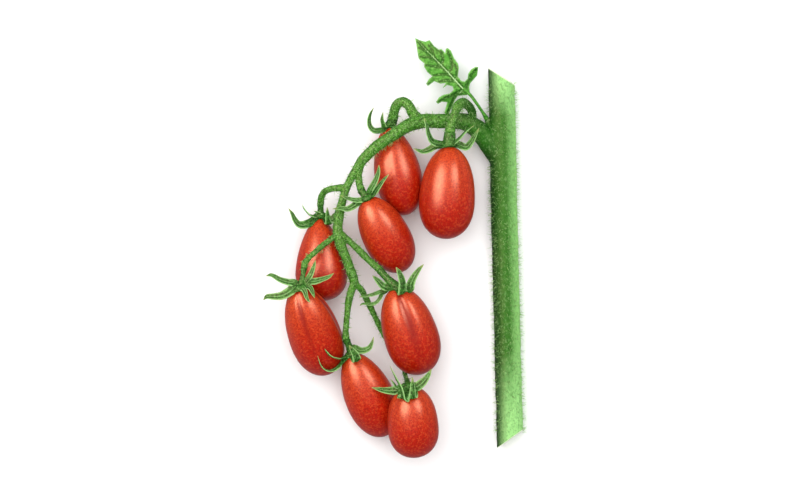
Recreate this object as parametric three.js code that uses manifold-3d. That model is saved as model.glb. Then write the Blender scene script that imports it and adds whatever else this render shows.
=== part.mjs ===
import * as THREE from "three";
import Module from "manifold-3d";

// A truss of baby plum tomatoes with the length of main stem it grew on, laid
// on a flat surface. Sizes are in millimetres. The surface is Z = 0, +Z is up,
// +Y points to the growing tip of the plant and +X to the main stem's side.

const PIECE_GAP = 0.35; // free space between neighbouring pieces
const FRUIT_SIDES = 24;
const FRUIT_RINGS = 12;
const STALK_SIDES = 12;
const FRUIT_STALK_SIDES = 10;
const STEM_DIAMETER = 13.2;
const STEM_SIDES = 20;
const SEPAL_THICKNESS = 0.7;
const SEPAL_FOLD = 0.28; // rise of a sepal's edges over its midrib, per half width
const SEPAL_TURN = 0.7; // how far a sideways sepal turns its upper face to +Z
const CALYX_RADIUS = 3.6;
const CALYX_HEIGHT = 1.7;
const LEAF_THICKNESS = 0.7;
const LEAF_MESH = 4.4; // longest edge in the leaf's surface
const LEAF_STALK_RADIUS = 0.8;
const LEAF_STALK_SIDES = 8;

const COLOURS = {
  main_stem: 0x4c8a35,
  truss_stalk: 0x4d7a35,
  calyx: 0x5f8f4a,
  leaf: 0x4f8c3a,
  tomato: 0xc02a14,
};

// Each fruit: centre, heading of its stem end in degrees from +Y to +X, tilt of
// the stem end above the surface, length, diameter, taper to the stem end,
// bluntness (2 is an ellipse, more is a squarer end), and the depth and number
// of the furrows down its shoulder.
const TOMATOES = [
  {
    centre: [27.1, 27.4, 21.3], heading: 3.2, tilt: 6, length: 46.5, diameter: 27.9,
    taper: 0.14, bluntness: 2.35, furrow: 0.03, lobes: 4,
  },
  {
    centre: [2.1, 38.3, 11.8], heading: -11.5, tilt: 3, length: 45.2, diameter: 23.6,
    taper: 0.18, bluntness: 1.9, furrow: 0.02, lobes: 3,
  },
  {
    centre: [-3.9, 6.6, 19.5], heading: -28, tilt: 18, length: 42.6, diameter: 23.8,
    taper: 0.12, bluntness: 2.2, furrow: 0.02, lobes: 3,
  },
  {
    centre: [-36, -5.8, 12.7], heading: -2.5, tilt: 0, length: 42, diameter: 26,
    taper: 0.4, bluntness: 2.25, furrow: 0.02, lobes: 3,
  },
  {
    centre: [-39.9, -41.2, 22.2], heading: -20, tilt: 26, length: 50.2, diameter: 26.4,
    taper: 0.14, bluntness: 2.3, furrow: 0.03, lobes: 4,
  },
  {
    centre: [-12.3, -73.3, 13.7], heading: -24, tilt: 15, length: 46.2, diameter: 24.8,
    taper: 0.14, bluntness: 2, furrow: 0.02, lobes: 3,
  },
  {
    centre: [8.1, -41.3, 21.5], heading: -18, tilt: 14, length: 46.4, diameter: 27.2,
    taper: 0.14, bluntness: 2.35, furrow: 0.045, lobes: 3,
  },
  {
    centre: [9.8, -86.7, 26.5], heading: -5, tilt: 12, length: 36.5, diameter: 25.4,
    taper: 0.1, bluntness: 2.5, furrow: 0.03, lobes: 4,
  },
];

// Centre line of the main stem as x, y. It lies straight on the surface.
const MAIN_STEM_LINE = [
  [54.1, 85.5], [54.4, 70], [54.8, 52], [55.5, 17], [56.3, -10],
  [56.9, -34], [57.5, -60], [58.2, -85], [58.4, -95.7],
];
const STEM_CUTS = [-0.64, 0.72]; // slant of the top and the bottom cut along y per x

// Centre line of the truss stalk as x, y, z, radius, from inside the flared
// collar on the main stem to the fork that carries the last two fruits.
const RACHIS = [
  [55.5, 34.8, 6.6, 3.6], [52.5, 44, 6.9, 4.6], [48.2, 51.6, 7.6, 5.2],
  [42.5, 58.7, 10, 4.7], [36.5, 62.4, 12.5, 4.4], [29.5, 63, 15, 3.9],
  [22, 63, 17.5, 3.6], [15, 63, 20, 3.6], [9, 61.4, 22.5, 3.4],
  [3.5, 58.3, 24.5, 3], [-2, 54.6, 24.8, 2.9], [-7.5, 50.9, 24.4, 2.8],
  [-12, 46.8, 24, 2.7], [-15.7, 42.7, 23.5, 2.5], [-18.5, 38.5, 23, 2.2],
  [-21.1, 34, 22.6, 2], [-23.3, 29, 22.5, 2], [-25, 24, 22.5, 2.1],
  [-26.2, 19.5, 22.5, 2.3], [-27, 15.1, 22.5, 2.5], [-27.5, 10.7, 22.5, 2.4],
  [-27.3, 6.7, 22.7, 2.6], [-26.3, 2.5, 23.2, 2.6], [-24.8, -1.5, 23.4, 2.5],
  [-23, -6, 23.3, 2.4], [-21.4, -10.5, 23.1, 2.4], [-19.8, -15, 22.6, 2.4],
  [-19, -18.2, 22, 2.2],
];

// Fruit stalks as x, y, z, radius. The point at index joint is the knuckle
// where the fruit's own end of the stalk parts from the truss; the last point
// is the middle of the calyx.
const FRUIT_STALKS = [
  {
    joint: 8,
    line: [
      [39.5, 62.6, 11.8, 2.4], [39.4, 67.3, 15, 2], [37.8, 70.4, 18.5, 2.2], [35, 72, 21.4, 2.8],
      [32.5, 70.4, 23.4, 2.6], [31, 67.3, 24.6, 2.2], [30, 63.8, 25, 2.1], [28.9, 60.2, 25, 2.3],
      [28.4, 57.4, 24.8, 2.6], [28.2, 54.2, 24.5, 3.2], [28.2, 50.8, 24, 3.7],
    ],
  },
  {
    joint: 6,
    line: [
      [13.5, 63, 19.8, 3], [10, 66.7, 20.5, 2.6], [8, 70.7, 20.5, 2.4], [5, 72.7, 19.5, 2.4],
      [2, 71.2, 18, 2.4], [0.5, 67.7, 16.5, 2.4], [-0.1, 64.4, 15, 2.5],
      [-0.6, 62.8, 14.3, 2.4], [-1.3, 60.9, 13.6, 2.8],
    ],
  },
  {
    joint: 3,
    line: [
      [-15.5, 42.5, 23.5, 1.8], [-17, 36.5, 23.4, 1.7], [-16.8, 32, 24, 1.7],
      [-15.8, 28.6, 25, 1.9], [-14.4, 26.4, 25.8, 1.9], [-12.6, 24.4, 26.4, 2.4],
    ],
  },
  {
    joint: 5,
    line: [
      [-23.5, 29.7, 22.3, 1.9], [-27.5, 29.6, 21.5, 1.8], [-31.5, 29, 20, 1.7],
      [-34.2, 27.7, 18.2, 1.6], [-35.7, 25.2, 16.5, 1.6], [-36.1, 22.2, 15, 1.7],
      [-36.1, 19.2, 13.7, 1.5], [-36.3, 15.4, 12.9, 2.2],
    ],
  },
  {
    joint: 6,
    line: [
      [-27.5, 6.7, 23.5, 1.5], [-31.5, 3.7, 25.6, 1.4], [-35.5, 0.5, 27.8, 1.4],
      [-38.7, -2.2, 29.5, 1.4], [-42, -5.2, 31, 1.4], [-44, -8, 32.2, 1.7],
      [-44.3, -10.5, 33.2, 1.5], [-44.8, -13.8, 34.1, 1.2], [-46, -20.2, 34.3, 2],
    ],
  },
  {
    joint: 5,
    line: [
      [-19.6, -18.5, 22, 2], [-21.5, -24, 22, 1.9], [-22.6, -31, 22, 1.7],
      [-23.2, -37.2, 22, 1.6], [-23.5, -42.2, 21.8, 1.6], [-23.2, -45.8, 21.6, 1.8],
      [-22, -49, 21, 1.7], [-20.4, -53.2, 20, 2.4],
    ],
  },
  {
    joint: 6,
    line: [
      [-26, 6.7, 22.8, 1.8], [-23, 4.2, 22.5, 1.7], [-19.2, 0.7, 22.3, 1.7],
      [-16.2, -2.2, 22.3, 1.7], [-13.2, -5.2, 22.6, 1.7], [-10, -8.2, 23.2, 1.7],
      [-6.7, -11.2, 24.2, 1.8], [-4, -14.2, 25.2, 1.8], [-1, -17.3, 26.4, 2.2],
      [2.4, -20.2, 27.4, 2.8],
    ],
  },
  {
    joint: 12,
    line: [
      [-19, -18, 22, 2], [-16.2, -20.5, 20.8, 1.6], [-13, -26.2, 17.7, 1.6],
      [-10, -32.2, 14.8, 1.5], [-7.2, -38.2, 12, 1.5], [-4, -44.2, 10, 1.4],
      [0, -50.2, 8.4, 1.3], [3.5, -55.7, 8, 1.3], [5.2, -60, 9, 1.25],
      [6, -63, 11.5, 1.25], [6.5, -64.8, 15.5, 1.25], [6.8, -65.8, 20, 1.3],
      [7, -66.3, 24.5, 1.3], [7.2, -67, 28.5, 1.3], [7.6, -69.2, 31.4, 1.8],
    ],
  },
];

// Sepals of each calyx: width halfway along and the points x, y, z they pass
// through after the middle of the calyx, the last one being the tip.
const SEPALS = [
  [
    { width: 3.2, line: [[21.4, 50.2, 23], [18.2, 48.5, 22], [14.6, 47.6, 21.1], [10.2, 49.3, 20.9]] },
    {
      width: 3.6,
      line: [
        [22.7, 51.1, 26], [19.1, 52.5, 27.5], [17.3, 56, 28.8],
        [16.4, 60.5, 29.5], [15.3, 64.7, 29.8],
      ],
    },
    { width: 2.6, line: [[31.2, 52, 26.3], [33.8, 54.3, 28], [36.5, 57.4, 29.5], [40.5, 60.7, 30.5]] },
    {
      width: 3,
      line: [[32, 51.1, 23.8], [36.5, 49.8, 23.3], [39.2, 52.5, 23.3], [41, 55.6, 23.8], [43, 59.6, 24.5]],
    },
    { width: 2.8, line: [[28.3, 50, 19], [28.6, 52, 13.5], [28.9, 56, 10.2]] },
  ],
  [
    {
      width: 2.8,
      line: [
        [-5.7, 58.1, 15.5], [-9.6, 58, 15.5], [-11.7, 60, 15.5],
        [-12.3, 63.5, 15.5], [-11.4, 67, 15.5], [-9.5, 70.1, 15.5],
      ],
    },
    { width: 2.2, line: [[-4.3, 59.4, 17], [-4.9, 61, 18], [-5.6, 64, 18.8], [-5, 67.6, 19.4]] },
    { width: 2.6, line: [[3, 58.5, 13], [7.5, 58.2, 12.5], [10.5, 61, 12]] },
    { width: 2.4, line: [[1, 59, 17], [3.8, 58.5, 18], [6, 59.5, 18]] },
    { width: 2.6, line: [[-1, 59.5, 8.5], [0, 61, 5.5], [1, 65, 4]] },
  ],
  [
    { width: 2.7, line: [[-11.2, 28.1, 29], [-8.5, 33, 31], [-7, 37.5, 32], [-6.9, 41.2, 32.5]] },
    { width: 2.3, line: [[-9.2, 26.8, 28], [-7, 29.9, 29.3], [-4.7, 33.2, 30], [-1.8, 36.6, 30.5]] },
    { width: 2.3, line: [[-15, 23.6, 27], [-18.4, 23.4, 27.8], [-22.4, 24.3, 28.3], [-26.2, 25.9, 28.6]] },
    {
      width: 2.8,
      line: [
        [-16.8, 22.5, 26], [-20.1, 20.1, 26.8], [-22.8, 19, 27],
        [-26.2, 19.4, 27.2], [-30.3, 19.1, 27.4],
      ],
    },
    { width: 2.6, line: [[-12, 23, 21.5], [-12.5, 23.5, 17.5], [-14.5, 27, 14]] },
  ],
  [
    {
      width: 4,
      line: [
        [-40.7, 12.2, 14.5], [-44.4, 10.7, 15.5], [-47.2, 11.1, 16],
        [-49.2, 13.4, 16.2], [-50.6, 16.6, 16.5], [-52.2, 19.6, 16.8],
      ],
    },
    {
      width: 2.4,
      line: [
        [-37.9, 14.8, 15.5], [-41.5, 15.7, 17.8], [-43.4, 17.6, 18.4],
        [-44.9, 19.7, 18.8], [-45.3, 21.6, 19],
      ],
    },
    { width: 2, line: [[-37, 16.7, 16], [-38.3, 17.4, 17.5], [-39.4, 18, 18.5]] },
    {
      width: 3,
      line: [
        [-33.7, 14.1, 16.5], [-32.2, 11.1, 19.5], [-31.9, 11.6, 21.8],
        [-32.2, 13.4, 23], [-32.5, 17.2, 23.8], [-32.8, 20.2, 24],
      ],
    },
    { width: 2.6, line: [[-33, 15, 12.7], [-30.9, 13.4, 12.7], [-29.6, 15.6, 12.7], [-28.4, 18, 12.7]] },
    { width: 2.6, line: [[-36, 14.5, 8], [-36.3, 15.5, 5.5], [-36.6, 19, 4]] },
  ],
  [
    {
      width: 3,
      line: [
        [-48.6, -18, 34.5], [-52.2, -17.5, 34.7], [-56.3, -16.2, 34.9],
        [-60.6, -13.9, 34.4], [-63.3, -14.3, 33.4],
      ],
    },
    {
      width: 3.8,
      line: [
        [-48.6, -20.1, 35.3], [-51.2, -22.1, 35.9], [-55, -24.1, 35.9],
        [-58.8, -24.6, 35.4], [-62.6, -24.6, 34.4], [-64.4, -26.1, 33.4],
      ],
    },
    { width: 2.2, line: [[-44.8, -20.6, 37], [-43.8, -22.1, 38], [-42.8, -25.2, 39], [-41, -27.6, 39.3]] },
    { width: 2.2, line: [[-41.5, -20.1, 36.4], [-40.2, -22.3, 37.4], [-38.9, -25.2, 38]] },
    {
      width: 2.7,
      line: [
        [-42, -17.2, 34.9], [-38.9, -17, 34.9], [-35.9, -16.2, 34.9],
        [-32, -14.7, 34.7], [-29.2, -12.7, 34.4],
      ],
    },
    {
      width: 2.5,
      line: [[-42, -15.7, 34.9], [-40.5, -13.2, 34.9], [-39.2, -9.6, 34.9], [-38.4, -6.3, 34.9]],
    },
  ],
  [
    {
      width: 2.4,
      line: [
        [-25.7, -55.5, 23.4], [-28.7, -55.3, 27.2], [-31, -54.5, 29.6],
        [-33.1, -52.4, 31.6], [-34.1, -50.3, 32.8],
      ],
    },
    {
      width: 3.4,
      line: [
        [-24.5, -56, 21.6], [-28.5, -60.4, 23], [-31, -61.6, 24.2],
        [-33.6, -61.3, 25.8], [-36, -59.1, 28.6], [-37.6, -53.9, 32],
      ],
    },
    {
      width: 2.8,
      line: [
        [-19.9, -50.3, 20.8], [-15.8, -51.6, 20.8], [-12.1, -50.5, 20.8],
        [-10.6, -48.2, 20.8], [-9.5, -44.4, 20.8],
      ],
    },
    {
      width: 3.8,
      line: [
        [-19, -54.5, 24.4], [-17.7, -56.9, 27.2], [-17.6, -56.4, 29],
        [-18.6, -53.5, 30], [-20.2, -51, 30.4], [-21.8, -48.6, 30.8],
      ],
    },
    { width: 2.6, line: [[-20.4, -52, 15], [-21.4, -50, 11], [-22.8, -46, 9]] },
  ],
  [
    { width: 3.4, line: [[-4.4, -19.9, 27], [-7.5, -17, 26.6], [-10.4, -13.9, 26.2]] },
    {
      width: 1.8,
      line: [
        [-5.3, -22, 25.5], [-8.2, -23, 25.5], [-11.1, -23.9, 25.3],
        [-14.2, -24.4, 25], [-17.2, -24.8, 24.8],
      ],
    },
    {
      width: 1.7,
      line: [
        [-5.1, -23, 24.5], [-6.3, -25.4, 24.3], [-8.2, -27.5, 24.2],
        [-11.1, -28.4, 24], [-15.2, -28.2, 24], [-16.6, -29.1, 23.8],
      ],
    },
    {
      width: 3.6,
      line: [
        [3.8, -21.5, 31], [5.1, -23.3, 33.6], [5.1, -22, 35.2],
        [4.9, -17, 36], [3.2, -12.2, 36.2], [1.5, -9.6, 36.2],
      ],
    },
    {
      width: 3.2,
      line: [
        [8.5, -20.6, 29], [9.2, -18.2, 29.5], [10.4, -15.3, 30],
        [12.8, -11.5, 30.3], [15.4, -8.3, 30.5],
      ],
    },
  ],
  [
    {
      width: 4.2,
      line: [
        [6, -71, 35], [5.2, -75.6, 39.6], [4.5, -75, 41],
        [3.2, -69.5, 41.2], [0.8, -64.6, 40.8], [-1.6, -59, 40.2],
      ],
    },
    { width: 1.5, line: [[4, -69, 32], [1.6, -69.6, 33], [0.3, -67.8, 33.5], [-1.3, -65.4, 34]] },
    { width: 3.8, line: [[4.5, -71, 31], [0.5, -71.6, 29], [-4.2, -71.4, 28], [-10.6, -69.8, 27]] },
    {
      width: 3.2,
      line: [[9.6, -71, 35], [9.9, -75.4, 39.8], [9.9, -74.5, 41], [9.9, -69, 41.2], [9.7, -64.5, 41]],
    },
    {
      width: 3.4,
      line: [[11.6, -69.6, 32.6], [14.8, -67.4, 33.1], [17.2, -64.5, 33.4], [19.2, -60.5, 33.6]],
    },
  ],
];

// Width of a sepal at even steps from the middle of the calyx to the tip, over
// its width halfway along.
const SEPAL_TAPER = [1.1, 1.28, 1.3, 1.15, 0.9, 0.64, 0.42, 0.2];

// Edge of the leaf as x, y, clockwise from the tip.
const LEAF_EDGE = [
  [11, 104.6], [13.3, 103.5], [16.1, 102.7], [18.3, 103.5], [20.6, 100.4], [22.8, 98.8],
  [24.2, 99], [26, 97], [26.4, 99.2], [27.4, 99.5], [28.9, 98.2], [30.5, 94.4],
  [32.4, 91.8], [32.9, 89.6], [32.4, 85.4], [34, 83.2], [35.6, 82.8], [37.2, 84.2],
  [37.5, 86.7], [39.1, 89], [41.3, 90.2], [42.6, 90], [42, 85.8], [38.6, 82],
  [38, 80], [38.4, 77.4], [37, 76], [34.9, 75.9], [32.4, 75.6], [30.9, 73.6],
  [29.7, 70.5], [28, 67], [26.8, 65.6], [25.6, 67.3], [27, 72.4], [24.4, 72.7],
  [22.5, 71.6], [21.4, 72.5], [22.8, 74.7], [25.1, 76.2], [28.2, 76.8], [30.2, 78.7],
  [29.7, 80.3], [27, 81], [24.7, 79.4], [26.3, 82], [23.5, 81.7], [20.6, 82.9],
  [17.4, 80.5], [16.5, 81.7], [17.8, 83.9], [19.6, 85.4], [17.1, 87.4], [15.5, 90.2],
  [15.6, 91.8], [12.9, 94.1], [12.6, 95.1], [11.8, 100.1],
];
const LEAF_MIDRIB = [[33, 81.3], [11, 104.6]];
const LEAF_STALK = [
  [46.6, 64.6, 7.6], [44.8, 67.4, 10], [41.8, 71.8, 12], [38.6, 76, 13], [35.2, 79.4, 13.2],
];
const LEAF_BASE_HEIGHT = 13.2;

const wasm = await Module();
wasm.setup();

function vector(point) {
  return new THREE.Vector3(point[0], point[1], point[2]);
}

// Closed solid from positions and triangles.
function solid(positions, triangles) {
  const vertProperties = new Float32Array(positions.flatMap((p) => [p.x, p.y, p.z]));
  const triVerts = new Uint32Array(triangles.flat());
  return new wasm.Manifold(new wasm.Mesh({ numProp: 3, vertProperties, triVerts }));
}

// Closed solid through rings of equal count, each turning the same way about
// the direction of travel, with a flat end on the first and the last ring.
function loft(rings) {
  const count = rings[0].length;
  const positions = rings.flat();
  const triangles = [];
  for (let ring = 0; ring < rings.length - 1; ring += 1) {
    for (let side = 0; side < count; side += 1) {
      const a = ring * count + side;
      const b = ring * count + ((side + 1) % count);
      triangles.push([a, b, b + count], [a, b + count, a + count]);
    }
  }
  const last = positions.length - count;
  for (let side = 1; side < count - 1; side += 1) {
    triangles.push([0, side + 1, side], [last, last + side, last + side + 1]);
  }
  return solid(positions, triangles);
}

function join(solids) {
  return solids.reduce((sum, next) => sum.add(next));
}

function mesh(name, shape, colour, roughness) {
  const raw = shape.getMesh();
  const geometry = new THREE.BufferGeometry();
  geometry.setAttribute("position", new THREE.Float32BufferAttribute(raw.vertProperties, 3));
  geometry.setIndex(Array.from(raw.triVerts));
  geometry.computeVertexNormals();
  const part = new THREE.Mesh(geometry, new THREE.MeshStandardMaterial({ color: colour, roughness }));
  part.name = name;
  return part;
}

// Direction from a fruit's middle to its stem end.
function stemDirection(fruit) {
  const heading = THREE.MathUtils.degToRad(fruit.heading);
  const tilt = THREE.MathUtils.degToRad(fruit.tilt);
  return new THREE.Vector3(
    Math.sin(heading) * Math.cos(tilt),
    Math.cos(heading) * Math.cos(tilt),
    Math.sin(tilt),
  );
}

function endShape(fruit, along) {
  const end = Math.sqrt(Math.max(0, 1 - Math.abs(along) ** fruit.bluntness));
  return end * (1 + fruit.taper * along);
}

function widestShape(fruit) {
  let widest = 0;
  for (let along = -1; along <= 1; along += 0.01) widest = Math.max(widest, endShape(fruit, along));
  return widest;
}

for (const fruit of TOMATOES) fruit.widest = widestShape(fruit);

function bareRadius(fruit, along) {
  return ((fruit.diameter / 2) * endShape(fruit, along)) / fruit.widest;
}

// Radius of a fruit: along runs from -1 at the stem end to 1 at the blossom
// end, and the furrows are deepest on the shoulder.
function fruitRadius(fruit, along, angle) {
  const furrow = (0.5 + 0.5 * Math.cos(fruit.lobes * (angle - Math.PI / 2))) ** 3;
  const depth = fruit.furrow * furrow * (0.5 - 0.5 * along);
  return bareRadius(fruit, along) * (1 - depth);
}

function fruitPoint(fruit, along, angle) {
  const axis = stemDirection(fruit);
  const side = new THREE.Vector3(0, 0, 1).cross(axis).normalize();
  const up = axis.clone().cross(side);
  const radius = fruitRadius(fruit, along, angle);
  return vector(fruit.centre)
    .addScaledVector(axis, (-along * fruit.length) / 2)
    .addScaledVector(side, -radius * Math.cos(angle))
    .addScaledVector(up, radius * Math.sin(angle));
}

function fruitSolid(fruit) {
  const positions = [fruitPoint(fruit, -1, 0)];
  const triangles = [];
  for (let ring = 1; ring < FRUIT_RINGS; ring += 1) {
    const along = -Math.cos((Math.PI * ring) / FRUIT_RINGS);
    for (let side = 0; side < FRUIT_SIDES; side += 1) {
      positions.push(fruitPoint(fruit, along, (2 * Math.PI * side) / FRUIT_SIDES));
    }
  }
  positions.push(fruitPoint(fruit, 1, 0));
  const end = positions.length - 1;
  const lastRing = end - FRUIT_SIDES;
  for (let side = 0; side < FRUIT_SIDES; side += 1) {
    const next = (side + 1) % FRUIT_SIDES;
    triangles.push([0, 1 + next, 1 + side], [end, lastRing + side, lastRing + next]);
    for (let ring = 0; ring < FRUIT_RINGS - 2; ring += 1) {
      const a = 1 + ring * FRUIT_SIDES + side;
      const b = 1 + ring * FRUIT_SIDES + next;
      triangles.push([a, b, b + FRUIT_SIDES], [a, b + FRUIT_SIDES, a + FRUIT_SIDES]);
    }
  }
  return solid(positions, triangles);
}

function boxSolid(low, high) {
  const pick = (i, bit, axis) => (i & bit ? high : low)[axis];
  const corner = (i) => new THREE.Vector3(pick(i, 1, 0), pick(i, 2, 1), pick(i, 4, 2));
  const quads = [[0, 2, 3, 1], [4, 5, 7, 6], [0, 1, 5, 4], [2, 6, 7, 3], [0, 4, 6, 2], [1, 3, 7, 5]];
  const triangles = quads.flatMap(([a, b, c, d]) => [[a, b, c], [a, c, d]]);
  return solid([0, 1, 2, 3, 4, 5, 6, 7].map(corner), triangles);
}

// The surface under the truss presses a small flat spot on the lowest fruits.
const GROUND = boxSolid([-200, -200, -60], [200, 200, 0]);

function fruitSurfaceDistance(fruit, direction) {
  const axis = stemDirection(fruit);
  const cosine = -direction.dot(axis);
  const sine = Math.sqrt(Math.max(0, 1 - cosine * cosine));
  let near = 0;
  let far = fruit.length;
  for (let step = 0; step < 30; step += 1) {
    const reach = (near + far) / 2;
    const along = (2 * reach * cosine) / fruit.length;
    const inside = Math.abs(along) < 1 && reach * sine < bareRadius(fruit, along);
    if (inside) near = reach;
    else far = reach;
  }
  return near;
}

// Moves a point out of every fruit until it is clear of the skin.
function clearOfFruits(point, clearance) {
  const moved = point.clone();
  for (const fruit of TOMATOES) {
    const centre = vector(fruit.centre);
    const direction = moved.clone().sub(centre);
    const reach = direction.length();
    if (reach > fruit.length / 2 + clearance) continue;
    direction.normalize();
    const wanted = fruitSurfaceDistance(fruit, direction) + clearance;
    if (reach < wanted) moved.copy(centre).addScaledVector(direction, wanted);
  }
  return moved;
}

// Even stations along a smooth line, with the direction of travel at each.
function stations(line, count) {
  const curve = new THREE.CatmullRomCurve3(line.map(vector), false, "centripetal");
  return Array.from({ length: count }, (_, i) => {
    const at = i / (count - 1);
    return { at, point: curve.getPoint(at), tangent: curve.getTangent(at).normalize() };
  });
}

// Rings of a round stalk along x, y, z, radius points, one ring to a point.
function stalkRings(line, sides) {
  const path = stations(line, line.length);
  let side = new THREE.Vector3(0, 0, 1).cross(path[0].tangent);
  if (side.length() < 0.2) side = new THREE.Vector3(1, 0, 0).cross(path[0].tangent);
  return path.map(({ point, tangent }, i) => {
    side.addScaledVector(tangent, -side.dot(tangent)).normalize();
    const other = tangent.clone().cross(side);
    return Array.from({ length: sides }, (_, k) => {
      const angle = (2 * Math.PI * k) / sides;
      return point.clone()
        .addScaledVector(side, line[i][3] * Math.cos(angle))
        .addScaledVector(other, line[i][3] * Math.sin(angle));
    });
  });
}

// The two ends of a fruit stalk, parted at the knuckle by two level faces.
function splitStalk({ line, joint }) {
  const rings = stalkRings(line, FRUIT_STALK_SIDES);
  const { tangent } = stations(line, line.length)[joint];
  const moved = (distance) => rings[joint].map((point) => point.clone().addScaledVector(tangent, distance));
  return {
    trussEnd: loft([...rings.slice(0, joint), moved(-PIECE_GAP / 2)]),
    fruitEnd: loft([moved(PIECE_GAP / 2), ...rings.slice(joint + 1)]),
  };
}

function mainStemSolid(radius) {
  const height = (STEM_DIAMETER / 2) * Math.cos(Math.PI / STEM_SIDES);
  const path = stations(MAIN_STEM_LINE.map(([x, y]) => [x, y, height]), MAIN_STEM_LINE.length);
  const rings = path.map(({ at, point, tangent }) => {
    const side = new THREE.Vector3(0, 0, 1).cross(tangent).normalize();
    const slant = at === 0 ? STEM_CUTS[0] : at === 1 ? STEM_CUTS[1] : 0;
    return Array.from({ length: STEM_SIDES }, (_, k) => {
      const angle = (2 * Math.PI * (k + 0.5)) / STEM_SIDES;
      const ringPoint = point.clone().addScaledVector(side, radius * Math.cos(angle));
      ringPoint.z += radius * Math.sin(angle);
      ringPoint.y += slant * (ringPoint.x - point.x);
      return ringPoint;
    });
  });
  return loft(rings);
}

function sepalSolid(hub, outward, sepal) {
  const tip = sepal.line[sepal.line.length - 1];
  const radial = vector(tip).sub(hub);
  radial.addScaledVector(outward, -radial.dot(outward)).normalize();
  const turn = SEPAL_TURN * (1 - Math.abs(radial.z));
  const natural = outward.clone().cross(radial);
  const rings = stations([hub.toArray(), ...sepal.line], SEPAL_TAPER.length).map(({ point, tangent }, i) => {
    const level = new THREE.Vector3(0, 0, 1).cross(tangent).normalize();
    const side = natural.clone().multiplyScalar(1 - turn).addScaledVector(level, turn);
    side.addScaledVector(tangent, -side.dot(tangent)).normalize();
    const normal = tangent.clone().cross(side);
    const half = (sepal.width / 2) * SEPAL_TAPER[i];
    const place = (across, lift, clearance) => {
      const edgeLift = Math.abs(across) * half * SEPAL_FOLD;
      const corner = point.clone().addScaledVector(side, across * half);
      return clearOfFruits(corner.addScaledVector(normal, lift + edgeLift), clearance);
    };
    const under = PIECE_GAP + 0.1;
    const over = under + SEPAL_THICKNESS;
    return [
      place(-1, 0, under), place(0, 0, under), place(1, 0, under),
      place(1, SEPAL_THICKNESS, over), place(0, SEPAL_THICKNESS, over), place(-1, SEPAL_THICKNESS, over),
    ];
  });
  return loft(rings);
}

// Small cushion of green tissue where stalk and sepals meet on the fruit.
function calyxCushion(hub, outward) {
  const lift = (height) => hub.clone().addScaledVector(outward, height).toArray();
  const profile = [[-0.9, 0.45], [-0.6, 0.8], [0, 1], [0.6, 0.8], [0.95, 0.45]];
  const line = profile.map(([height, width]) => {
    return [...lift(0.6 + height * CALYX_HEIGHT), width * CALYX_RADIUS];
  });
  return loft(stalkRings(line, STALK_SIDES));
}

function calyxSolid(index, inflatedFruit) {
  const stalk = FRUIT_STALKS[index];
  const outward = stemDirection(TOMATOES[index]);
  const hub = vector(stalk.line[stalk.line.length - 1]);
  const green = [splitStalk(stalk).fruitEnd, calyxCushion(hub, outward)];
  for (const sepal of SEPALS[index]) green.push(sepalSolid(hub, outward, sepal));
  return join(green).subtract(inflatedFruit);
}

function grown(fruit, margin) {
  return { ...fruit, length: fruit.length + 2 * margin, diameter: fruit.diameter + 2 * margin, furrow: 0 };
}

function trussStalkSolid() {
  const parts = [loft(stalkRings(RACHIS, STALK_SIDES))];
  for (const stalk of FRUIT_STALKS) parts.push(splitStalk(stalk).trussEnd);
  return join(parts).subtract(mainStemSolid(STEM_DIAMETER / 2 + PIECE_GAP));
}

// Height of the leaf: it droops to the tip and folds down along the midrib.
function leafHeight(x, y) {
  const [base, tip] = LEAF_MIDRIB;
  const run = new THREE.Vector2(tip[0] - base[0], tip[1] - base[1]);
  const from = new THREE.Vector2(x - base[0], y - base[1]);
  const along = from.dot(run) / run.lengthSq();
  const across = Math.abs(from.cross(run)) / run.length();
  const droop = along > 0 ? 3.4 * along - 5.2 * along * along : 8 * along;
  const wave = 0.5 * Math.sin(along * 14) * Math.min(1, across / 5);
  return LEAF_BASE_HEIGHT + droop + 0.16 * across * Math.min(1, Math.max(0, 1 + 4 * along)) + wave;
}

// One round of splitting every edge longer than the limit at its middle.
function splitLongEdges(points, triangles, limit) {
  const middles = new Map();
  const middle = (a, b) => {
    const key = Math.min(a, b) + "/" + Math.max(a, b);
    if (!middles.has(key)) {
      const [p, q] = [points[a], points[b]];
      const long = Math.hypot(p[0] - q[0], p[1] - q[1]) > limit;
      middles.set(key, long ? points.push([(p[0] + q[0]) / 2, (p[1] + q[1]) / 2]) - 1 : null);
    }
    return middles.get(key);
  };
  return triangles.flatMap((corners) => {
    const split = corners.map((corner, i) => middle(corner, corners[(i + 1) % 3]));
    const count = split.filter((m) => m !== null).length;
    if (count === 0) return [corners];
    const first = split.findIndex((m, i) => m !== null && (count !== 2 || split[(i + 1) % 3] !== null));
    const [a, b, c] = [0, 1, 2].map((i) => corners[(first + i) % 3]);
    const [ab, bc, ca] = [0, 1, 2].map((i) => split[(first + i) % 3]);
    if (count === 1) return [[a, ab, c], [ab, b, c]];
    if (count === 2) return [[ab, b, bc], [a, ab, bc], [a, bc, c]];
    return [[a, ab, ca], [ab, b, bc], [ca, bc, c], [ab, bc, ca]];
  });
}

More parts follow.
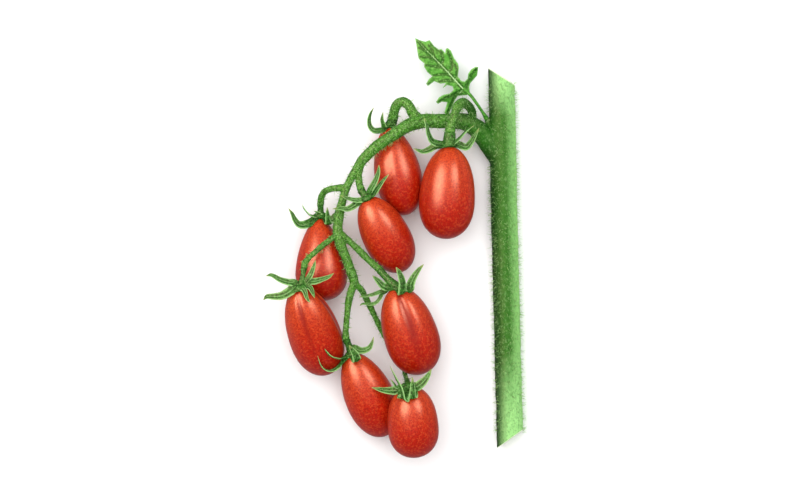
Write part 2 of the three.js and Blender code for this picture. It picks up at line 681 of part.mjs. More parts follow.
function leafBlade() {
  const points = LEAF_EDGE.map((p) => [...p]).reverse();
  const contour = points.map(([x, y]) => new THREE.Vector2(x, y));
  let triangles = THREE.ShapeUtils.triangulateShape(contour, []);
  for (let round = 0; round < 3; round += 1) triangles = splitLongEdges(points, triangles, LEAF_MESH);
  const lower = points.map(([x, y]) => new THREE.Vector3(x, y, leafHeight(x, y)));
  const upper = lower.map((p) => p.clone().setZ(p.z + LEAF_THICKNESS));
  const shift = lower.length;
  const faces = triangles.map((corners) => corners.map((corner) => corner + shift));
  for (const [a, b, c] of triangles) faces.push([a, c, b]);
  const edges = new Set(triangles.flatMap(([a, b, c]) => [a + "/" + b, b + "/" + c, c + "/" + a]));
  for (const edge of edges) {
    const [a, b] = edge.split("/").map(Number);
    if (!edges.has(b + "/" + a)) faces.push([a, b, b + shift], [a, b + shift, a + shift]);
  }
  return solid([...lower, ...upper], faces);
}

function leafSolid() {
  const line = LEAF_STALK.map((point) => [...point, LEAF_STALK_RADIUS]);
  return join([leafBlade(), loft(stalkRings(line, LEAF_STALK_SIDES))]);
}

const truss = new THREE.Group();
truss.name = "truss_of_tomatoes";
truss.add(mesh("main_stem", mainStemSolid(STEM_DIAMETER / 2), COLOURS.main_stem, 0.7));
truss.add(mesh("truss_stalk", trussStalkSolid(), COLOURS.truss_stalk, 0.7));
truss.add(mesh("leaf", leafSolid(), COLOURS.leaf, 0.75));
TOMATOES.forEach((fruit, index) => {
  const fruitPiece = fruitSolid(fruit).subtract(GROUND);
  const calyx = calyxSolid(index, fruitSolid(grown(fruit, PIECE_GAP)));
  truss.add(mesh("tomato_" + (index + 1), fruitPiece, COLOURS.tomato, 0.3));
  truss.add(mesh("calyx_" + (index + 1), calyx, COLOURS.calyx, 0.7));
});

export default truss;
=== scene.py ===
import math

import bpy
import numpy as np
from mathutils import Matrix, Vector, geometry, kdtree, noise


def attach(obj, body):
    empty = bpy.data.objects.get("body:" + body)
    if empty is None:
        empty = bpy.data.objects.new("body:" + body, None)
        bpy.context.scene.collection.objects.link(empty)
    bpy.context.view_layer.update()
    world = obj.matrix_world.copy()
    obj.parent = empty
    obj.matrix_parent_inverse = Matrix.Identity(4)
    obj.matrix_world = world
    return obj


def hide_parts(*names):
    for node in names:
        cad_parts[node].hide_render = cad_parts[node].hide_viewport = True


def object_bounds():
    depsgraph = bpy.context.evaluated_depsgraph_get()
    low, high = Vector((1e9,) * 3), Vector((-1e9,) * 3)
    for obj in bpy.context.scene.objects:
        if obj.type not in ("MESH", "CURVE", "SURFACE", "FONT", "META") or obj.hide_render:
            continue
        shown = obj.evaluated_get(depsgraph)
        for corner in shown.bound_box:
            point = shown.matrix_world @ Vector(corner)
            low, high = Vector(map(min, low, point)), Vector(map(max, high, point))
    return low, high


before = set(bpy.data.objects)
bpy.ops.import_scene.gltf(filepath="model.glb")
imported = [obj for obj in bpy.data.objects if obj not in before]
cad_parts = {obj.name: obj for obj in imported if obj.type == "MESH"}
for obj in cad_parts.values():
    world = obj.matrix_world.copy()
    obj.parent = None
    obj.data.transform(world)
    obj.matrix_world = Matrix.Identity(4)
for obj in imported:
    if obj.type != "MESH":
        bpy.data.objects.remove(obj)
cad_low, cad_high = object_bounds()

# A truss of baby plum tomatoes laid on a pale floor and seen from straight
# above. Tables are in millimetres, in the frame of the CAD model.

MM = 0.001
SEED = 7
FLOOR_SIZE = 6000
FLOOR_DROP = 0.2  # keeps the floor just under the flat spots of stem and fruits
FRAME_WIDTH = 400.0  # what the picture's width covers on the floor
FRAME_MIDDLE = (3.5, -1.25)
CAMERA_HEIGHT = 6.0  # in metres, so far up that the view is almost without perspective
SENSOR_WIDTH = 36
SKY_STRENGTH = 0.45

# Each fruit: centre, heading of its stem end in degrees from +Y to +X, tilt of
# the stem end above the floor, length, diameter, taper to the stem end,
# bluntness, and the depth, number and turn of the furrows down its shoulder.
TOMATOES = [
    dict(centre=(27.1, 27.4, 21.3), heading=3.2, tilt=6, length=46.5, diameter=27.9,
         taper=0.14, bluntness=2.35, furrow=0.03, lobes=4, turn=-38),
    dict(centre=(2.1, 38.3, 11.8), heading=-11.5, tilt=3, length=45.2, diameter=23.6,
         taper=0.18, bluntness=1.9, furrow=0.02, lobes=3, turn=20),
    dict(centre=(-3.9, 6.6, 19.5), heading=-28, tilt=18, length=42.6, diameter=23.8,
         taper=0.12, bluntness=2.2, furrow=0.02, lobes=3, turn=70),
    dict(centre=(-36, -5.8, 12.7), heading=-2.5, tilt=0, length=42, diameter=26,
         taper=0.4, bluntness=2.25, furrow=0.02, lobes=3, turn=60),
    dict(centre=(-39.9, -41.2, 22.2), heading=-20, tilt=26, length=50.2, diameter=26.4,
         taper=0.14, bluntness=2.3, furrow=0.065, lobes=4, turn=14),
    dict(centre=(-12.3, -73.3, 13.7), heading=-24, tilt=15, length=46.2, diameter=24.8,
         taper=0.14, bluntness=2, furrow=0.02, lobes=3, turn=50),
    dict(centre=(8.1, -41.3, 21.5), heading=-18, tilt=14, length=46.4, diameter=27.2,
         taper=0.14, bluntness=2.35, furrow=0.09, lobes=3, turn=-6),
    dict(centre=(9.8, -86.7, 26.5), heading=-5, tilt=12, length=36.5, diameter=25.4,
         taper=0.1, bluntness=2.5, furrow=0.03, lobes=4, turn=45),
]

STEM_DIAMETER = 13.2
MAIN_STEM_LINE = [
    (54.1, 85.5), (54.4, 70), (54.8, 52), (55.5, 17), (56.3, -10),
    (56.9, -34), (57.5, -60), (58.2, -85), (58.4, -95.7),
]
STEM_CUTS = (-0.64, 0.72)  # slant of the top and the bottom cut along y per x
CUT_ZONE = 0.1  # share of the length over which the rings turn to a cut
STEM_RIBS = 5
RIB_HEIGHT = 0.012  # over the radius
RIB_TWIST = 30  # length over which their wave shifts by a radian
PALE_TOP, PALE_BOTTOM = 20, 45  # lengths over which the ends grow pale
COLLAR_PLACE, COLLAR_REACH = 56, 9  # along y, where the truss stalk grows out

# Centre line of the truss stalk as x, y, z, radius, from inside the flared
# collar on the main stem to the fork that carries the last two fruits.
RACHIS = [
    (55.5, 34.8, 6.6, 3.6), (52.5, 44, 6.9, 4.6), (48.2, 51.6, 7.6, 5.2),
    (42.5, 58.7, 10, 4.7), (36.5, 62.4, 12.5, 4.4), (29.5, 63, 15, 3.9),
    (22, 63, 17.5, 3.6), (15, 63, 20, 3.6), (9, 61.4, 22.5, 3.4),
    (3.5, 58.3, 24.5, 3), (-2, 54.6, 24.8, 2.9), (-7.5, 50.9, 24.4, 2.8),
    (-12, 46.8, 24, 2.7), (-15.7, 42.7, 23.5, 2.5), (-18.5, 38.5, 23, 2.2),
    (-21.1, 34, 22.6, 2), (-23.3, 29, 22.5, 2), (-25, 24, 22.5, 2.1),
    (-26.2, 19.5, 22.5, 2.3), (-27, 15.1, 22.5, 2.5), (-27.5, 10.7, 22.5, 2.4),
    (-27.3, 6.7, 22.7, 2.6), (-26.3, 2.5, 23.2, 2.6), (-24.8, -1.5, 23.4, 2.5),
    (-23, -6, 23.3, 2.4), (-21.4, -10.5, 23.1, 2.4), (-19.8, -15, 22.6, 2.4),
    (-19, -18.2, 22, 2.2),
]
# Small swelling in the angle of the main stem that carries the leaf's stalk.
LEAF_AXIL = [
    (49.5, 59.5, 7, 2.6), (47.8, 62.4, 7.1, 1.9), (46.7, 64.5, 7.5, 1.1), (46, 65.5, 8.2, 0.8),
]

# Fruit stalks as x, y, z, radius. The point at index joint is the knuckle;
# the last point is the middle of the calyx.
FRUIT_STALKS = [
    dict(joint=8, line=[
        (39.5, 62.6, 11.8, 2.4), (39.4, 67.3, 15, 2), (37.8, 70.4, 18.5, 2.2), (35, 72, 21.4, 2.8),
        (32.5, 70.4, 23.4, 2.6), (31, 67.3, 24.6, 2.2), (30, 63.8, 25, 2.1), (28.9, 60.2, 25, 2.3),
        (28.4, 57.4, 24.8, 2.6), (28.2, 54.2, 24.5, 3.2), (28.2, 50.8, 24, 3.7),
    ]),
    dict(joint=6, line=[
        (13.5, 63, 19.8, 3), (10, 66.7, 20.5, 2.6), (8, 70.7, 20.5, 2.4), (5, 72.7, 19.5, 2.4),
        (2, 71.2, 18, 2.4), (0.5, 67.7, 16.5, 2.4), (-0.1, 64.4, 15, 2.5),
        (-0.6, 62.8, 14.3, 2.4), (-1.3, 60.9, 13.6, 2.8),
    ]),
    dict(joint=3, line=[
        (-15.5, 42.5, 23.5, 1.8), (-17, 36.5, 23.4, 1.7), (-16.8, 32, 24, 1.7),
        (-15.8, 28.6, 25, 1.9), (-14.4, 26.4, 25.8, 1.9), (-12.6, 24.4, 26.4, 2.4),
    ]),
    dict(joint=5, line=[
        (-23.5, 29.7, 22.3, 1.9), (-27.5, 29.6, 21.5, 1.8), (-31.5, 29, 20, 1.7),
        (-34.2, 27.7, 18.2, 1.6), (-35.7, 25.2, 16.5, 1.6), (-36.1, 22.2, 15, 1.7),
        (-36.1, 19.2, 13.7, 1.5), (-36.3, 15.4, 12.9, 2.2),
    ]),
    dict(joint=6, line=[
        (-27.5, 6.7, 23.5, 1.5), (-31.5, 3.7, 25.6, 1.4), (-35.5, 0.5, 27.8, 1.4),
        (-38.7, -2.2, 29.5, 1.4), (-42, -5.2, 31, 1.4), (-44, -8, 32.2, 1.7),
        (-44.3, -10.5, 33.2, 1.5), (-44.8, -13.8, 34.1, 1.2), (-46, -20.2, 34.3, 2),
    ]),
    dict(joint=5, line=[
        (-19.6, -18.5, 22, 2), (-21.5, -24, 22, 1.9), (-22.6, -31, 22, 1.7),
        (-23.2, -37.2, 22, 1.6), (-23.5, -42.2, 21.8, 1.6), (-23.2, -45.8, 21.6, 1.8),
        (-22, -49, 21, 1.7), (-20.4, -53.2, 20, 2.4),
    ]),
    dict(joint=6, line=[
        (-26, 6.7, 22.8, 1.8), (-23, 4.2, 22.5, 1.7), (-19.2, 0.7, 22.3, 1.7),
        (-16.2, -2.2, 22.3, 1.7), (-13.2, -5.2, 22.6, 1.7), (-10, -8.2, 23.2, 1.7),
        (-6.7, -11.2, 24.2, 1.8), (-4, -14.2, 25.2, 1.8), (-1, -17.3, 26.4, 2.2),
        (2.4, -20.2, 27.4, 2.8),
    ]),
    dict(joint=12, line=[
        (-19, -18, 22, 2), (-16.2, -20.5, 20.8, 1.6), (-13, -26.2, 17.7, 1.6),
        (-10, -32.2, 14.8, 1.5), (-7.2, -38.2, 12, 1.5), (-4, -44.2, 10, 1.4),
        (0, -50.2, 8.4, 1.3), (3.5, -55.7, 8, 1.3), (5.2, -60, 9, 1.25),
        (6, -63, 11.5, 1.25), (6.5, -64.8, 15.5, 1.25), (6.8, -65.8, 20, 1.3),
        (7, -66.3, 24.5, 1.3), (7.2, -67, 28.5, 1.3), (7.6, -69.2, 31.4, 1.8),
    ]),
]

# Sepals of each calyx: width halfway along, then the points x, y, z they pass
# through after the middle of the calyx, the last one being the tip.
SEPALS = [
    [
        (3.2, [(21.4, 50.2, 23), (18.2, 48.5, 22), (14.6, 47.6, 21.1), (10.2, 49.3, 20.9)]),
        (3.6, [(22.7, 51.1, 26), (19.1, 52.5, 27.5), (17.3, 56, 28.8), (16.4, 60.5, 29.5),
               (15.3, 64.7, 29.8)]),
        (2.6, [(31.2, 52, 26.3), (33.8, 54.3, 28), (36.5, 57.4, 29.5), (40.5, 60.7, 30.5)]),
        (3, [(32, 51.1, 23.8), (36.5, 49.8, 23.3), (39.2, 52.5, 23.3), (41, 55.6, 23.8),
             (43, 59.6, 24.5)]),
        (2.8, [(28.3, 50, 19), (28.6, 52, 13.5), (28.9, 56, 10.2)]),
    ],
    [
        (2.8, [(-5.7, 58.1, 15.5), (-9.6, 58, 15.5), (-11.7, 60, 15.5), (-12.3, 63.5, 15.5),
               (-11.4, 67, 15.5), (-9.5, 70.1, 15.5)]),
        (2.2, [(-4.3, 59.4, 17), (-4.9, 61, 18), (-5.6, 64, 18.8), (-5, 67.6, 19.4)]),
        (2.6, [(3, 58.5, 13), (7.5, 58.2, 12.5), (10.5, 61, 12)]),
        (2.4, [(1, 59, 17), (3.8, 58.5, 18), (6, 59.5, 18)]),
        (2.6, [(-1, 59.5, 8.5), (0, 61, 5.5), (1, 65, 4)]),
    ],
    [
        (2.7, [(-11.2, 28.1, 29), (-8.5, 33, 31), (-7, 37.5, 32), (-6.9, 41.2, 32.5)]),
        (2.3, [(-9.2, 26.8, 28), (-7, 29.9, 29.3), (-4.7, 33.2, 30), (-1.8, 36.6, 30.5)]),
        (2.3, [(-15, 23.6, 27), (-18.4, 23.4, 27.8), (-22.4, 24.3, 28.3), (-26.2, 25.9, 28.6)]),
        (2.8, [(-16.8, 22.5, 26), (-20.1, 20.1, 26.8), (-22.8, 19, 27), (-26.2, 19.4, 27.2),
               (-30.3, 19.1, 27.4)]),
        (2.6, [(-12, 23, 21.5), (-12.5, 23.5, 17.5), (-14.5, 27, 14)]),
    ],
    [
        (4, [(-40.7, 12.2, 14.5), (-44.4, 10.7, 15.5), (-47.2, 11.1, 16), (-49.2, 13.4, 16.2),
             (-50.6, 16.6, 16.5), (-52.2, 19.6, 16.8)]),
        (2.4, [(-37.9, 14.8, 15.5), (-41.5, 15.7, 17.8), (-43.4, 17.6, 18.4),
               (-44.9, 19.7, 18.8), (-45.3, 21.6, 19)]),
        (2, [(-37, 16.7, 16), (-38.3, 17.4, 17.5), (-39.4, 18, 18.5)]),
        (3, [(-33.7, 14.1, 16.5), (-32.2, 11.1, 19.5), (-31.9, 11.6, 21.8), (-32.2, 13.4, 23),
             (-32.5, 17.2, 23.8), (-32.8, 20.2, 24)]),
        (2.6, [(-33, 15, 12.7), (-30.9, 13.4, 12.7), (-29.6, 15.6, 12.7), (-28.4, 18, 12.7)]),
        (2.6, [(-36, 14.5, 8), (-36.3, 15.5, 5.5), (-36.6, 19, 4)]),
    ],
    [
        (3, [(-48.6, -18, 34.5), (-52.2, -17.5, 34.7), (-56.3, -16.2, 34.9),
             (-60.6, -13.9, 34.4), (-63.3, -14.3, 33.4)]),
        (3.8, [(-48.6, -20.1, 35.3), (-51.2, -22.1, 35.9), (-55, -24.1, 35.9),
               (-58.8, -24.6, 35.4), (-62.6, -24.6, 34.4), (-64.4, -26.1, 33.4)]),
        (2.2, [(-44.8, -20.6, 37), (-43.8, -22.1, 38), (-42.8, -25.2, 39), (-41, -27.6, 39.3)]),
        (2.2, [(-41.5, -20.1, 36.4), (-40.2, -22.3, 37.4), (-38.9, -25.2, 38)]),
        (2.7, [(-42, -17.2, 34.9), (-38.9, -17, 34.9), (-35.9, -16.2, 34.9),
               (-32, -14.7, 34.7), (-29.2, -12.7, 34.4)]),
        (2.5, [(-42, -15.7, 34.9), (-40.5, -13.2, 34.9), (-39.2, -9.6, 34.9), (-38.4, -6.3, 34.9)]),
    ],
    [
        (2.4, [(-25.7, -55.5, 23.4), (-28.7, -55.3, 27.2), (-31, -54.5, 29.6),
               (-33.1, -52.4, 31.6), (-34.1, -50.3, 32.8)]),
        (3.4, [(-24.5, -56, 21.6), (-28.5, -60.4, 23), (-31, -61.6, 24.2), (-33.6, -61.3, 25.8),
               (-36, -59.1, 28.6), (-37.6, -53.9, 32)]),
        (2.8, [(-19.9, -50.3, 20.8), (-15.8, -51.6, 20.8), (-12.1, -50.5, 20.8),
               (-10.6, -48.2, 20.8), (-9.5, -44.4, 20.8)]),
        (3.8, [(-19, -54.5, 24.4), (-17.7, -56.9, 27.2), (-17.6, -56.4, 29),
               (-18.6, -53.5, 30), (-20.2, -51, 30.4), (-21.8, -48.6, 30.8)]),
        (2.6, [(-20.4, -52, 15), (-21.4, -50, 11), (-22.8, -46, 9)]),
    ],
    [
        (3.4, [(-4.4, -19.9, 27), (-7.5, -17, 26.6), (-10.4, -13.9, 26.2)]),
        (1.8, [(-5.3, -22, 25.5), (-8.2, -23, 25.5), (-11.1, -23.9, 25.3),
               (-14.2, -24.4, 25), (-17.2, -24.8, 24.8)]),
        (1.7, [(-5.1, -23, 24.5), (-6.3, -25.4, 24.3), (-8.2, -27.5, 24.2),
               (-11.1, -28.4, 24), (-15.2, -28.2, 24), (-16.6, -29.1, 23.8)]),
        (4.1, [(3.8, -21.5, 31), (5.1, -23.3, 33.6), (5.1, -22, 35.2), (4.9, -17, 36),
               (3.2, -12.2, 36.2), (1.5, -9.6, 36.2)]),
        (3.7, [(8.5, -20.6, 29), (9.2, -18.2, 29.5), (10.4, -15.3, 30), (12.8, -11.5, 30.3),
               (15.4, -8.3, 30.5)]),
    ],
    [
        (4.9, [(6, -71, 35), (5.2, -75.6, 39.6), (4.5, -75, 41), (3.2, -69.5, 41.2),
               (0.8, -64.6, 40.8), (-1.6, -59, 40.2)]),
        (1.5, [(4, -69, 32), (1.6, -69.6, 33), (0.3, -67.8, 33.5), (-1.3, -65.4, 34)]),
        (4.3, [(4.5, -71, 31), (0.5, -71.6, 29), (-4.2, -71.4, 28), (-10.6, -69.8, 27)]),
        (3.7, [(9.6, -71, 35), (9.9, -75.4, 39.8), (9.9, -74.5, 41), (9.9, -69, 41.2),
               (9.7, -64.5, 41)]),
        (3.9, [(11.6, -69.6, 32.6), (14.8, -67.4, 33.1), (17.2, -64.5, 33.4), (19.2, -60.5, 33.6)]),
    ],
]
# Width of a sepal at even steps from the middle of the calyx to the tip, over
# its width halfway along.
SEPAL_TAPER = (1.1, 1.28, 1.34, 1.26, 1.1, 0.88, 0.58, 0.1)
SEPAL_STEPS, SEPAL_COLUMNS = 64, 9  # points along a sepal and across it
SEPAL_THICKNESS = 0.62
SEPAL_THINNING = 0.45  # what the edges lose of that
SEPAL_FOLD = 0.28  # rise of the sides over their distance from the midrib
SEPAL_GROOVE_DEPTH = 0.14
SEPAL_GROOVE_WIDTH = 0.16  # as a share of the half width
SEPAL_TURN = 0.7  # how far a sepal turns from square on its stalk to level
SKIN_GAP = 0.2  # free space between a sepal and the fruit under it

# The cushion in the middle of a calyx. Its outline holds places along the
# stalk over CUSHION_HEIGHT, and radii over CUSHION_RADIUS.
CUSHION_RADIUS = 3.6
CUSHION_HEIGHT = 1.7
CUSHION_LIFT = 0.6  # from the end of the stalk's line away from the fruit
CUSHION_OUTLINE = [
    (-0.9, 0.45), (-0.6, 0.8), (-0.3, 0.95), (0, 1), (0.3, 0.95), (0.6, 0.8), (0.95, 0.45),
]

# Edge of the leaf as x, y, clockwise from the tip.
LEAF_EDGE = [
    (11, 104.6), (13.3, 103.5), (16.1, 102.7), (18.3, 103.5), (20.6, 100.4), (22.8, 98.8),
    (24.2, 99), (26, 97), (26.4, 99.2), (27.4, 99.5), (28.9, 98.2), (30.5, 94.4),
    (32.4, 91.8), (32.9, 89.6), (32.4, 85.4), (34, 83.2), (35.6, 82.8), (37.2, 84.2),
    (37.5, 86.7), (39.1, 89), (41.3, 90.2), (42.6, 90), (42, 85.8), (38.6, 82),
    (38, 80), (38.4, 77.4), (37, 76), (34.9, 75.9), (32.4, 75.6), (30.9, 73.6),
    (29.7, 70.5), (28, 67), (26.8, 65.6), (25.6, 67.3), (27, 72.4), (24.4, 72.7),
    (22.5, 71.6), (21.4, 72.5), (22.8, 74.7), (25.1, 76.2), (28.2, 76.8), (30.2, 78.7),
    (29.7, 80.3), (27, 81), (24.7, 79.4), (26.3, 82), (23.5, 81.7), (20.6, 82.9),
    (17.4, 80.5), (16.5, 81.7), (17.8, 83.9), (19.6, 85.4), (17.1, 87.4), (15.5, 90.2),
    (15.6, 91.8), (12.9, 94.1), (12.6, 95.1), (11.8, 100.1),
]
LEAF_MIDRIB = ((33, 81.3), (11, 104.6))
LEAF_BASE_HEIGHT = 13.2
LEAF_THICKNESS = 0.35
LEAF_MESH = 0.4  # distance between the points of the blade
LEAF_RISE, LEAF_DROOP = 3.4, 5.2  # of the midrib from the base of the blade to its tip
LEAF_FOLD = 0.16  # rise of the blade over its distance from the midrib
LEAF_WAVE = 0.5  # height of the waves towards the edge
LEAF_PUFF = 0.45  # rise of the blade between its veins
LEAF_CRINKLE, CRINKLE_SIZE = 0.28, 1.7  # height and width of the fine crinkles
VEIN_WIDTH = 0.34
# The dark band beside a vein is painted shade in the hollow there.
VALLEY_PLACE, VALLEY_WIDTH = 0.7, 0.5  # of the dark band beside a vein
# Stalk of the leaf as x, y, z, radius.
LEAF_STALK = [
    (46.6, 64.6, 7.6, 1.25), (44.8, 67.4, 10, 0.8), (41.8, 71.8, 12, 0.75),
    (38.6, 76, 13, 0.8), (35.2, 79.4, 13.2, 0.9),
]
# Veins of the leaf as x, y from the thick end to the thin one.
LEAF_VEINS = [
    [(36, 78.2), (33, 81.3), (27.5, 87.3), (21.5, 93.6), (16.5, 98.6), (12.5, 103)],
    [(24, 91), (24.8, 94), (24, 97.2), (21.5, 99.4), (19, 101.5)],
    [(20.2, 95), (19.6, 98.4), (17.8, 101)],
    [(27.5, 87.3), (29.4, 90.4), (28.8, 94.2), (27.2, 98)],
    [(31, 83.5), (32, 87), (31, 91)],
    [(28.6, 86.2), (24.4, 86.4), (19.4, 85.6)],
    [(31.5, 83), (27, 83.4), (21, 82.2), (17.4, 81.6)],
    [(25, 90), (20.5, 90.4), (16.4, 91)],
    [(21, 94.2), (17.4, 94.8), (13.6, 95.2)],
    [(17.6, 97.5), (14.8, 98.6), (12.6, 99.8)],
    [(36, 78.2), (37, 82), (38.6, 85.6), (41.6, 89.2)],
    [(35, 78.6), (30, 76.2), (25.6, 74.4), (22, 72.6)],
    [(34, 77.6), (31, 75.4), (29, 71.6), (27.2, 67.4)],
]

KNUCKLE_SWELLING = 0.1  # over the stalk's radius
KNUCKLE_REACH = 1.4
FURROW_SHARPNESS = 10  # a higher number draws the furrows narrower

HAIR_THICKNESS = 0.24  # real hairs of 0.05 mm wouldn't show
HAIR_ROOT = 0.12  # how deep a hair begins under the skin
HAIR_GAP = 0.1  # free space between a hair's tip and a fruit
HAIR_FLOOR_GAP = 0.4
HAIR_OVERHANG = 3  # how far they may reach past the CAD model beside the main stem

# How finely the skins are drawn: the rings of a fruit and the points in each.
# For the others, the distance between rings and the points in each.
FRUIT_RINGS, FRUIT_SIDES = 120, 144
STEM_STEP, STEM_SIDES = 0.8, 72
RACHIS_STEP, RACHIS_SIDES = 0.6, 32
STALK_STEP, STALK_SIDES = 0.5, 24
AXIL_STEP, AXIL_SIDES = 0.4, 20
LEAF_STALK_STEP, LEAF_STALK_SIDES = 0.4, 16
CALYX_STEP, CUSHION_SIDES = 0.3, 36

# Grain of skins that have grown together, and how often their joins are eased.
STEM_GRAIN, STEM_EASING = 0.3, 7
CALYX_GRAIN, CALYX_EASING = 0.17, 2

rng = np.random.default_rng(SEED)


# Meshes

def mesh_object(name, vertices, faces):
    """A mesh from vertices in millimetres and faces."""
    mesh = bpy.data.meshes.new(name)
    mesh.from_pydata((np.asarray(vertices, float) * MM).tolist(), [], faces)
    mesh.update()
    mesh.shade_smooth()
    piece = bpy.data.objects.new(name, mesh)
    bpy.context.scene.collection.objects.link(piece)
    return piece


def vertex_places(piece):
    """Places of a piece's vertices in millimetres, one row each."""
    places = np.empty(len(piece.data.vertices) * 3)
    piece.data.vertices.foreach_get("co", places)
    return places.reshape(-1, 3) / MM


def move_vertices(piece, places):
    piece.data.vertices.foreach_set("co", (np.asarray(places) * MM).ravel())
    piece.data.update()


def paint(piece, name, values):
    """Keeps one number for each vertex under a name that the material reads."""
    layer = piece.data.attributes.new(name, "FLOAT", "POINT")
    layer.data.foreach_set("value", np.asarray(values, np.float32))


def dress(piece, material, nodes):
    piece.data.materials.append(material)
    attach(piece, "root")
    if nodes:
        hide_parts(*nodes)


def unit(rows):
    return rows / np.linalg.norm(rows, axis=-1, keepdims=True)


def knots(points):
    """Spline knots of a line and the points with one more beyond each end."""
    line = np.array(points, float)
    line = np.vstack([2 * line[0] - line[1], line, 2 * line[-1] - line[-2]])
    steps = np.sqrt(np.linalg.norm(np.diff(line[:, :3], axis=0), axis=1))
    return line, np.concatenate([[0], np.cumsum(steps)])


def spline(points, at):
    """Places on the smooth line through points. A whole number in at is the point itself."""
    line, knot = knots(points)
    at = np.clip(at, 0, len(points) - 1)
    first = np.minimum(at.astype(int), len(points) - 2)
    p = [line[first + k] for k in range(4)]
    t = [knot[first + k][:, None] for k in range(4)]
    x = t[1] + (t[2] - t[1]) * (at - first)[:, None]

    def blend(a, b, ta, tb):
        return a * (tb - x) / (tb - ta) + b * (x - ta) / (tb - ta)

    a1, a2, a3 = (blend(p[k], p[k + 1], t[k], t[k + 1]) for k in range(3))
    b1, b2 = blend(a1, a2, t[0], t[2]), blend(a2, a3, t[1], t[3])
    return blend(b1, b2, t[1], t[2])


def even_line(points, step, start=0.0, end=None):
    """Points at even distances along the smooth line, from one of its points to another."""
    end = len(points) - 1 if end is None else end
    fine = spline(points, np.linspace(start, end, int(60 * (end - start)) + 2))
    run = np.concatenate([[0], np.cumsum(np.linalg.norm(np.diff(fine[:, :3], axis=0), axis=1))])
    wanted = np.linspace(0, run[-1], max(3, int(run[-1] / step) + 1))
    return np.column_stack([np.interp(wanted, run, fine[:, k]) for k in range(fine.shape[1])])


def line_frames(line):
    """Tangent and two square directions at each point of a line, without twist."""
    tangent = unit(np.gradient(line[:, :3], axis=0))
    side = np.cross((0, 0, 1), tangent[0])
    if np.linalg.norm(side) < 0.2:
        side = np.cross((1, 0, 0), tangent[0])
    sides = []
    for direction in tangent:
        side = side - direction * side.dot(direction)
        side = side / np.linalg.norm(side)
        sides.append(side)
    sides = np.array(sides)
    return tangent, sides, np.cross(tangent, sides)


def loft(rings):
    """Vertices and faces of a closed skin over rings of equal count."""
    rings = np.asarray(rings)
    turns, count = rings.shape[:2]
    a = (np.arange(turns - 1)[:, None] * count + np.arange(count)).ravel()
    b = (np.arange(turns - 1)[:, None] * count + (np.arange(count) + 1) % count).ravel()
    faces = np.column_stack([a, b, b + count, a + count]).tolist()
    last = (turns - 1) * count
    faces.append(list(range(count))[::-1])
    faces.append(list(range(last, last + count)))
    return rings.reshape(-1, 3), faces


def tube(line, sides=STALK_SIDES):
    """Skin of a round stalk along rows of x, y, z, radius."""
    _, side, other = line_frames(line)
    angle = np.linspace(0, 2 * np.pi, sides, endpoint=False)
    cosine, sine = np.cos(angle)[None, :, None], np.sin(angle)[None, :, None]
    ring = side[:, None] * cosine + other[:, None] * sine
    return loft(line[:, None, :3] + ring * line[:, None, 3:4])


def together(skins):
    """Several skins as one list of vertices and one of faces."""
    vertices, faces, count = [], [], 0
    for places, sides in skins:
        vertices.append(places)
        faces.extend([[corner + count for corner in face] for face in sides])
        count += len(places)
    return np.vstack(vertices), faces


def grown_together(name, skins, grain, easing):
    """Overlapping closed skins as one living surface, its joins rounded off."""
    rough = mesh_object(name + "_rough", *together(skins))
    remesh = rough.modifiers.new("tissue", "REMESH")
    remesh.mode = "VOXEL"
    remesh.voxel_size = grain * MM
    smooth = rough.modifiers.new("ease", "SMOOTH")
    smooth.factor = 0.5
    smooth.iterations = easing
    graph = bpy.context.evaluated_depsgraph_get()
    mesh = bpy.data.meshes.new_from_object(rough.evaluated_get(graph))
    mesh.name = name
    bpy.data.objects.remove(rough)
    mesh.shade_smooth()
    piece = bpy.data.objects.new(name, mesh)
    bpy.context.scene.collection.objects.link(piece)
    return piece


def roughen(piece, size, height, shift=0.0):
    """Lifts and sinks the surface by soft noise of a size and height in millimetres."""
    places = vertex_places(piece)
    normals = np.empty(len(places) * 3)
    piece.data.vertices.foreach_get("normal", normals)
    aside = Vector((shift, 0, 0))
    lift = np.array([noise.noise(Vector(place / size) + aside) for place in places])
    move_vertices(piece, places + normals.reshape(-1, 3) * (lift * height)[:, None])


# Fruits

def stem_direction(fruit):
    """Direction from the middle of a fruit to its stem end."""
    heading, tilt = math.radians(fruit["heading"]), math.radians(fruit["tilt"])
    level = math.cos(tilt)
    return np.array([math.sin(heading) * level, math.cos(heading) * level, math.sin(tilt)])


def end_shape(fruit, along):
    """Outline of a fruit from -1 at its stem end to 1 at its blossom end."""
    end = np.sqrt(np.maximum(0, 1 - np.abs(along) ** fruit["bluntness"]))
    return end * (1 + fruit["taper"] * along)


def bare_radius(fruit, along):
    """Radius of a fruit without its furrows."""
    widest = end_shape(fruit, np.linspace(-1, 1, 201)).max()
    return fruit["diameter"] / 2 * end_shape(fruit, along) / widest


def furrow_depth(fruit, along, angle):
    """Share of the radius that the furrows take, deepest on the shoulder."""
    turned = angle - math.pi / 2 - math.radians(fruit["turn"])
    groove = (0.5 + 0.5 * np.cos(fruit["lobes"] * turned)) ** FURROW_SHARPNESS
    return fruit["furrow"] * groove * np.clip(0.6 - 0.6 * along, 0, 1)


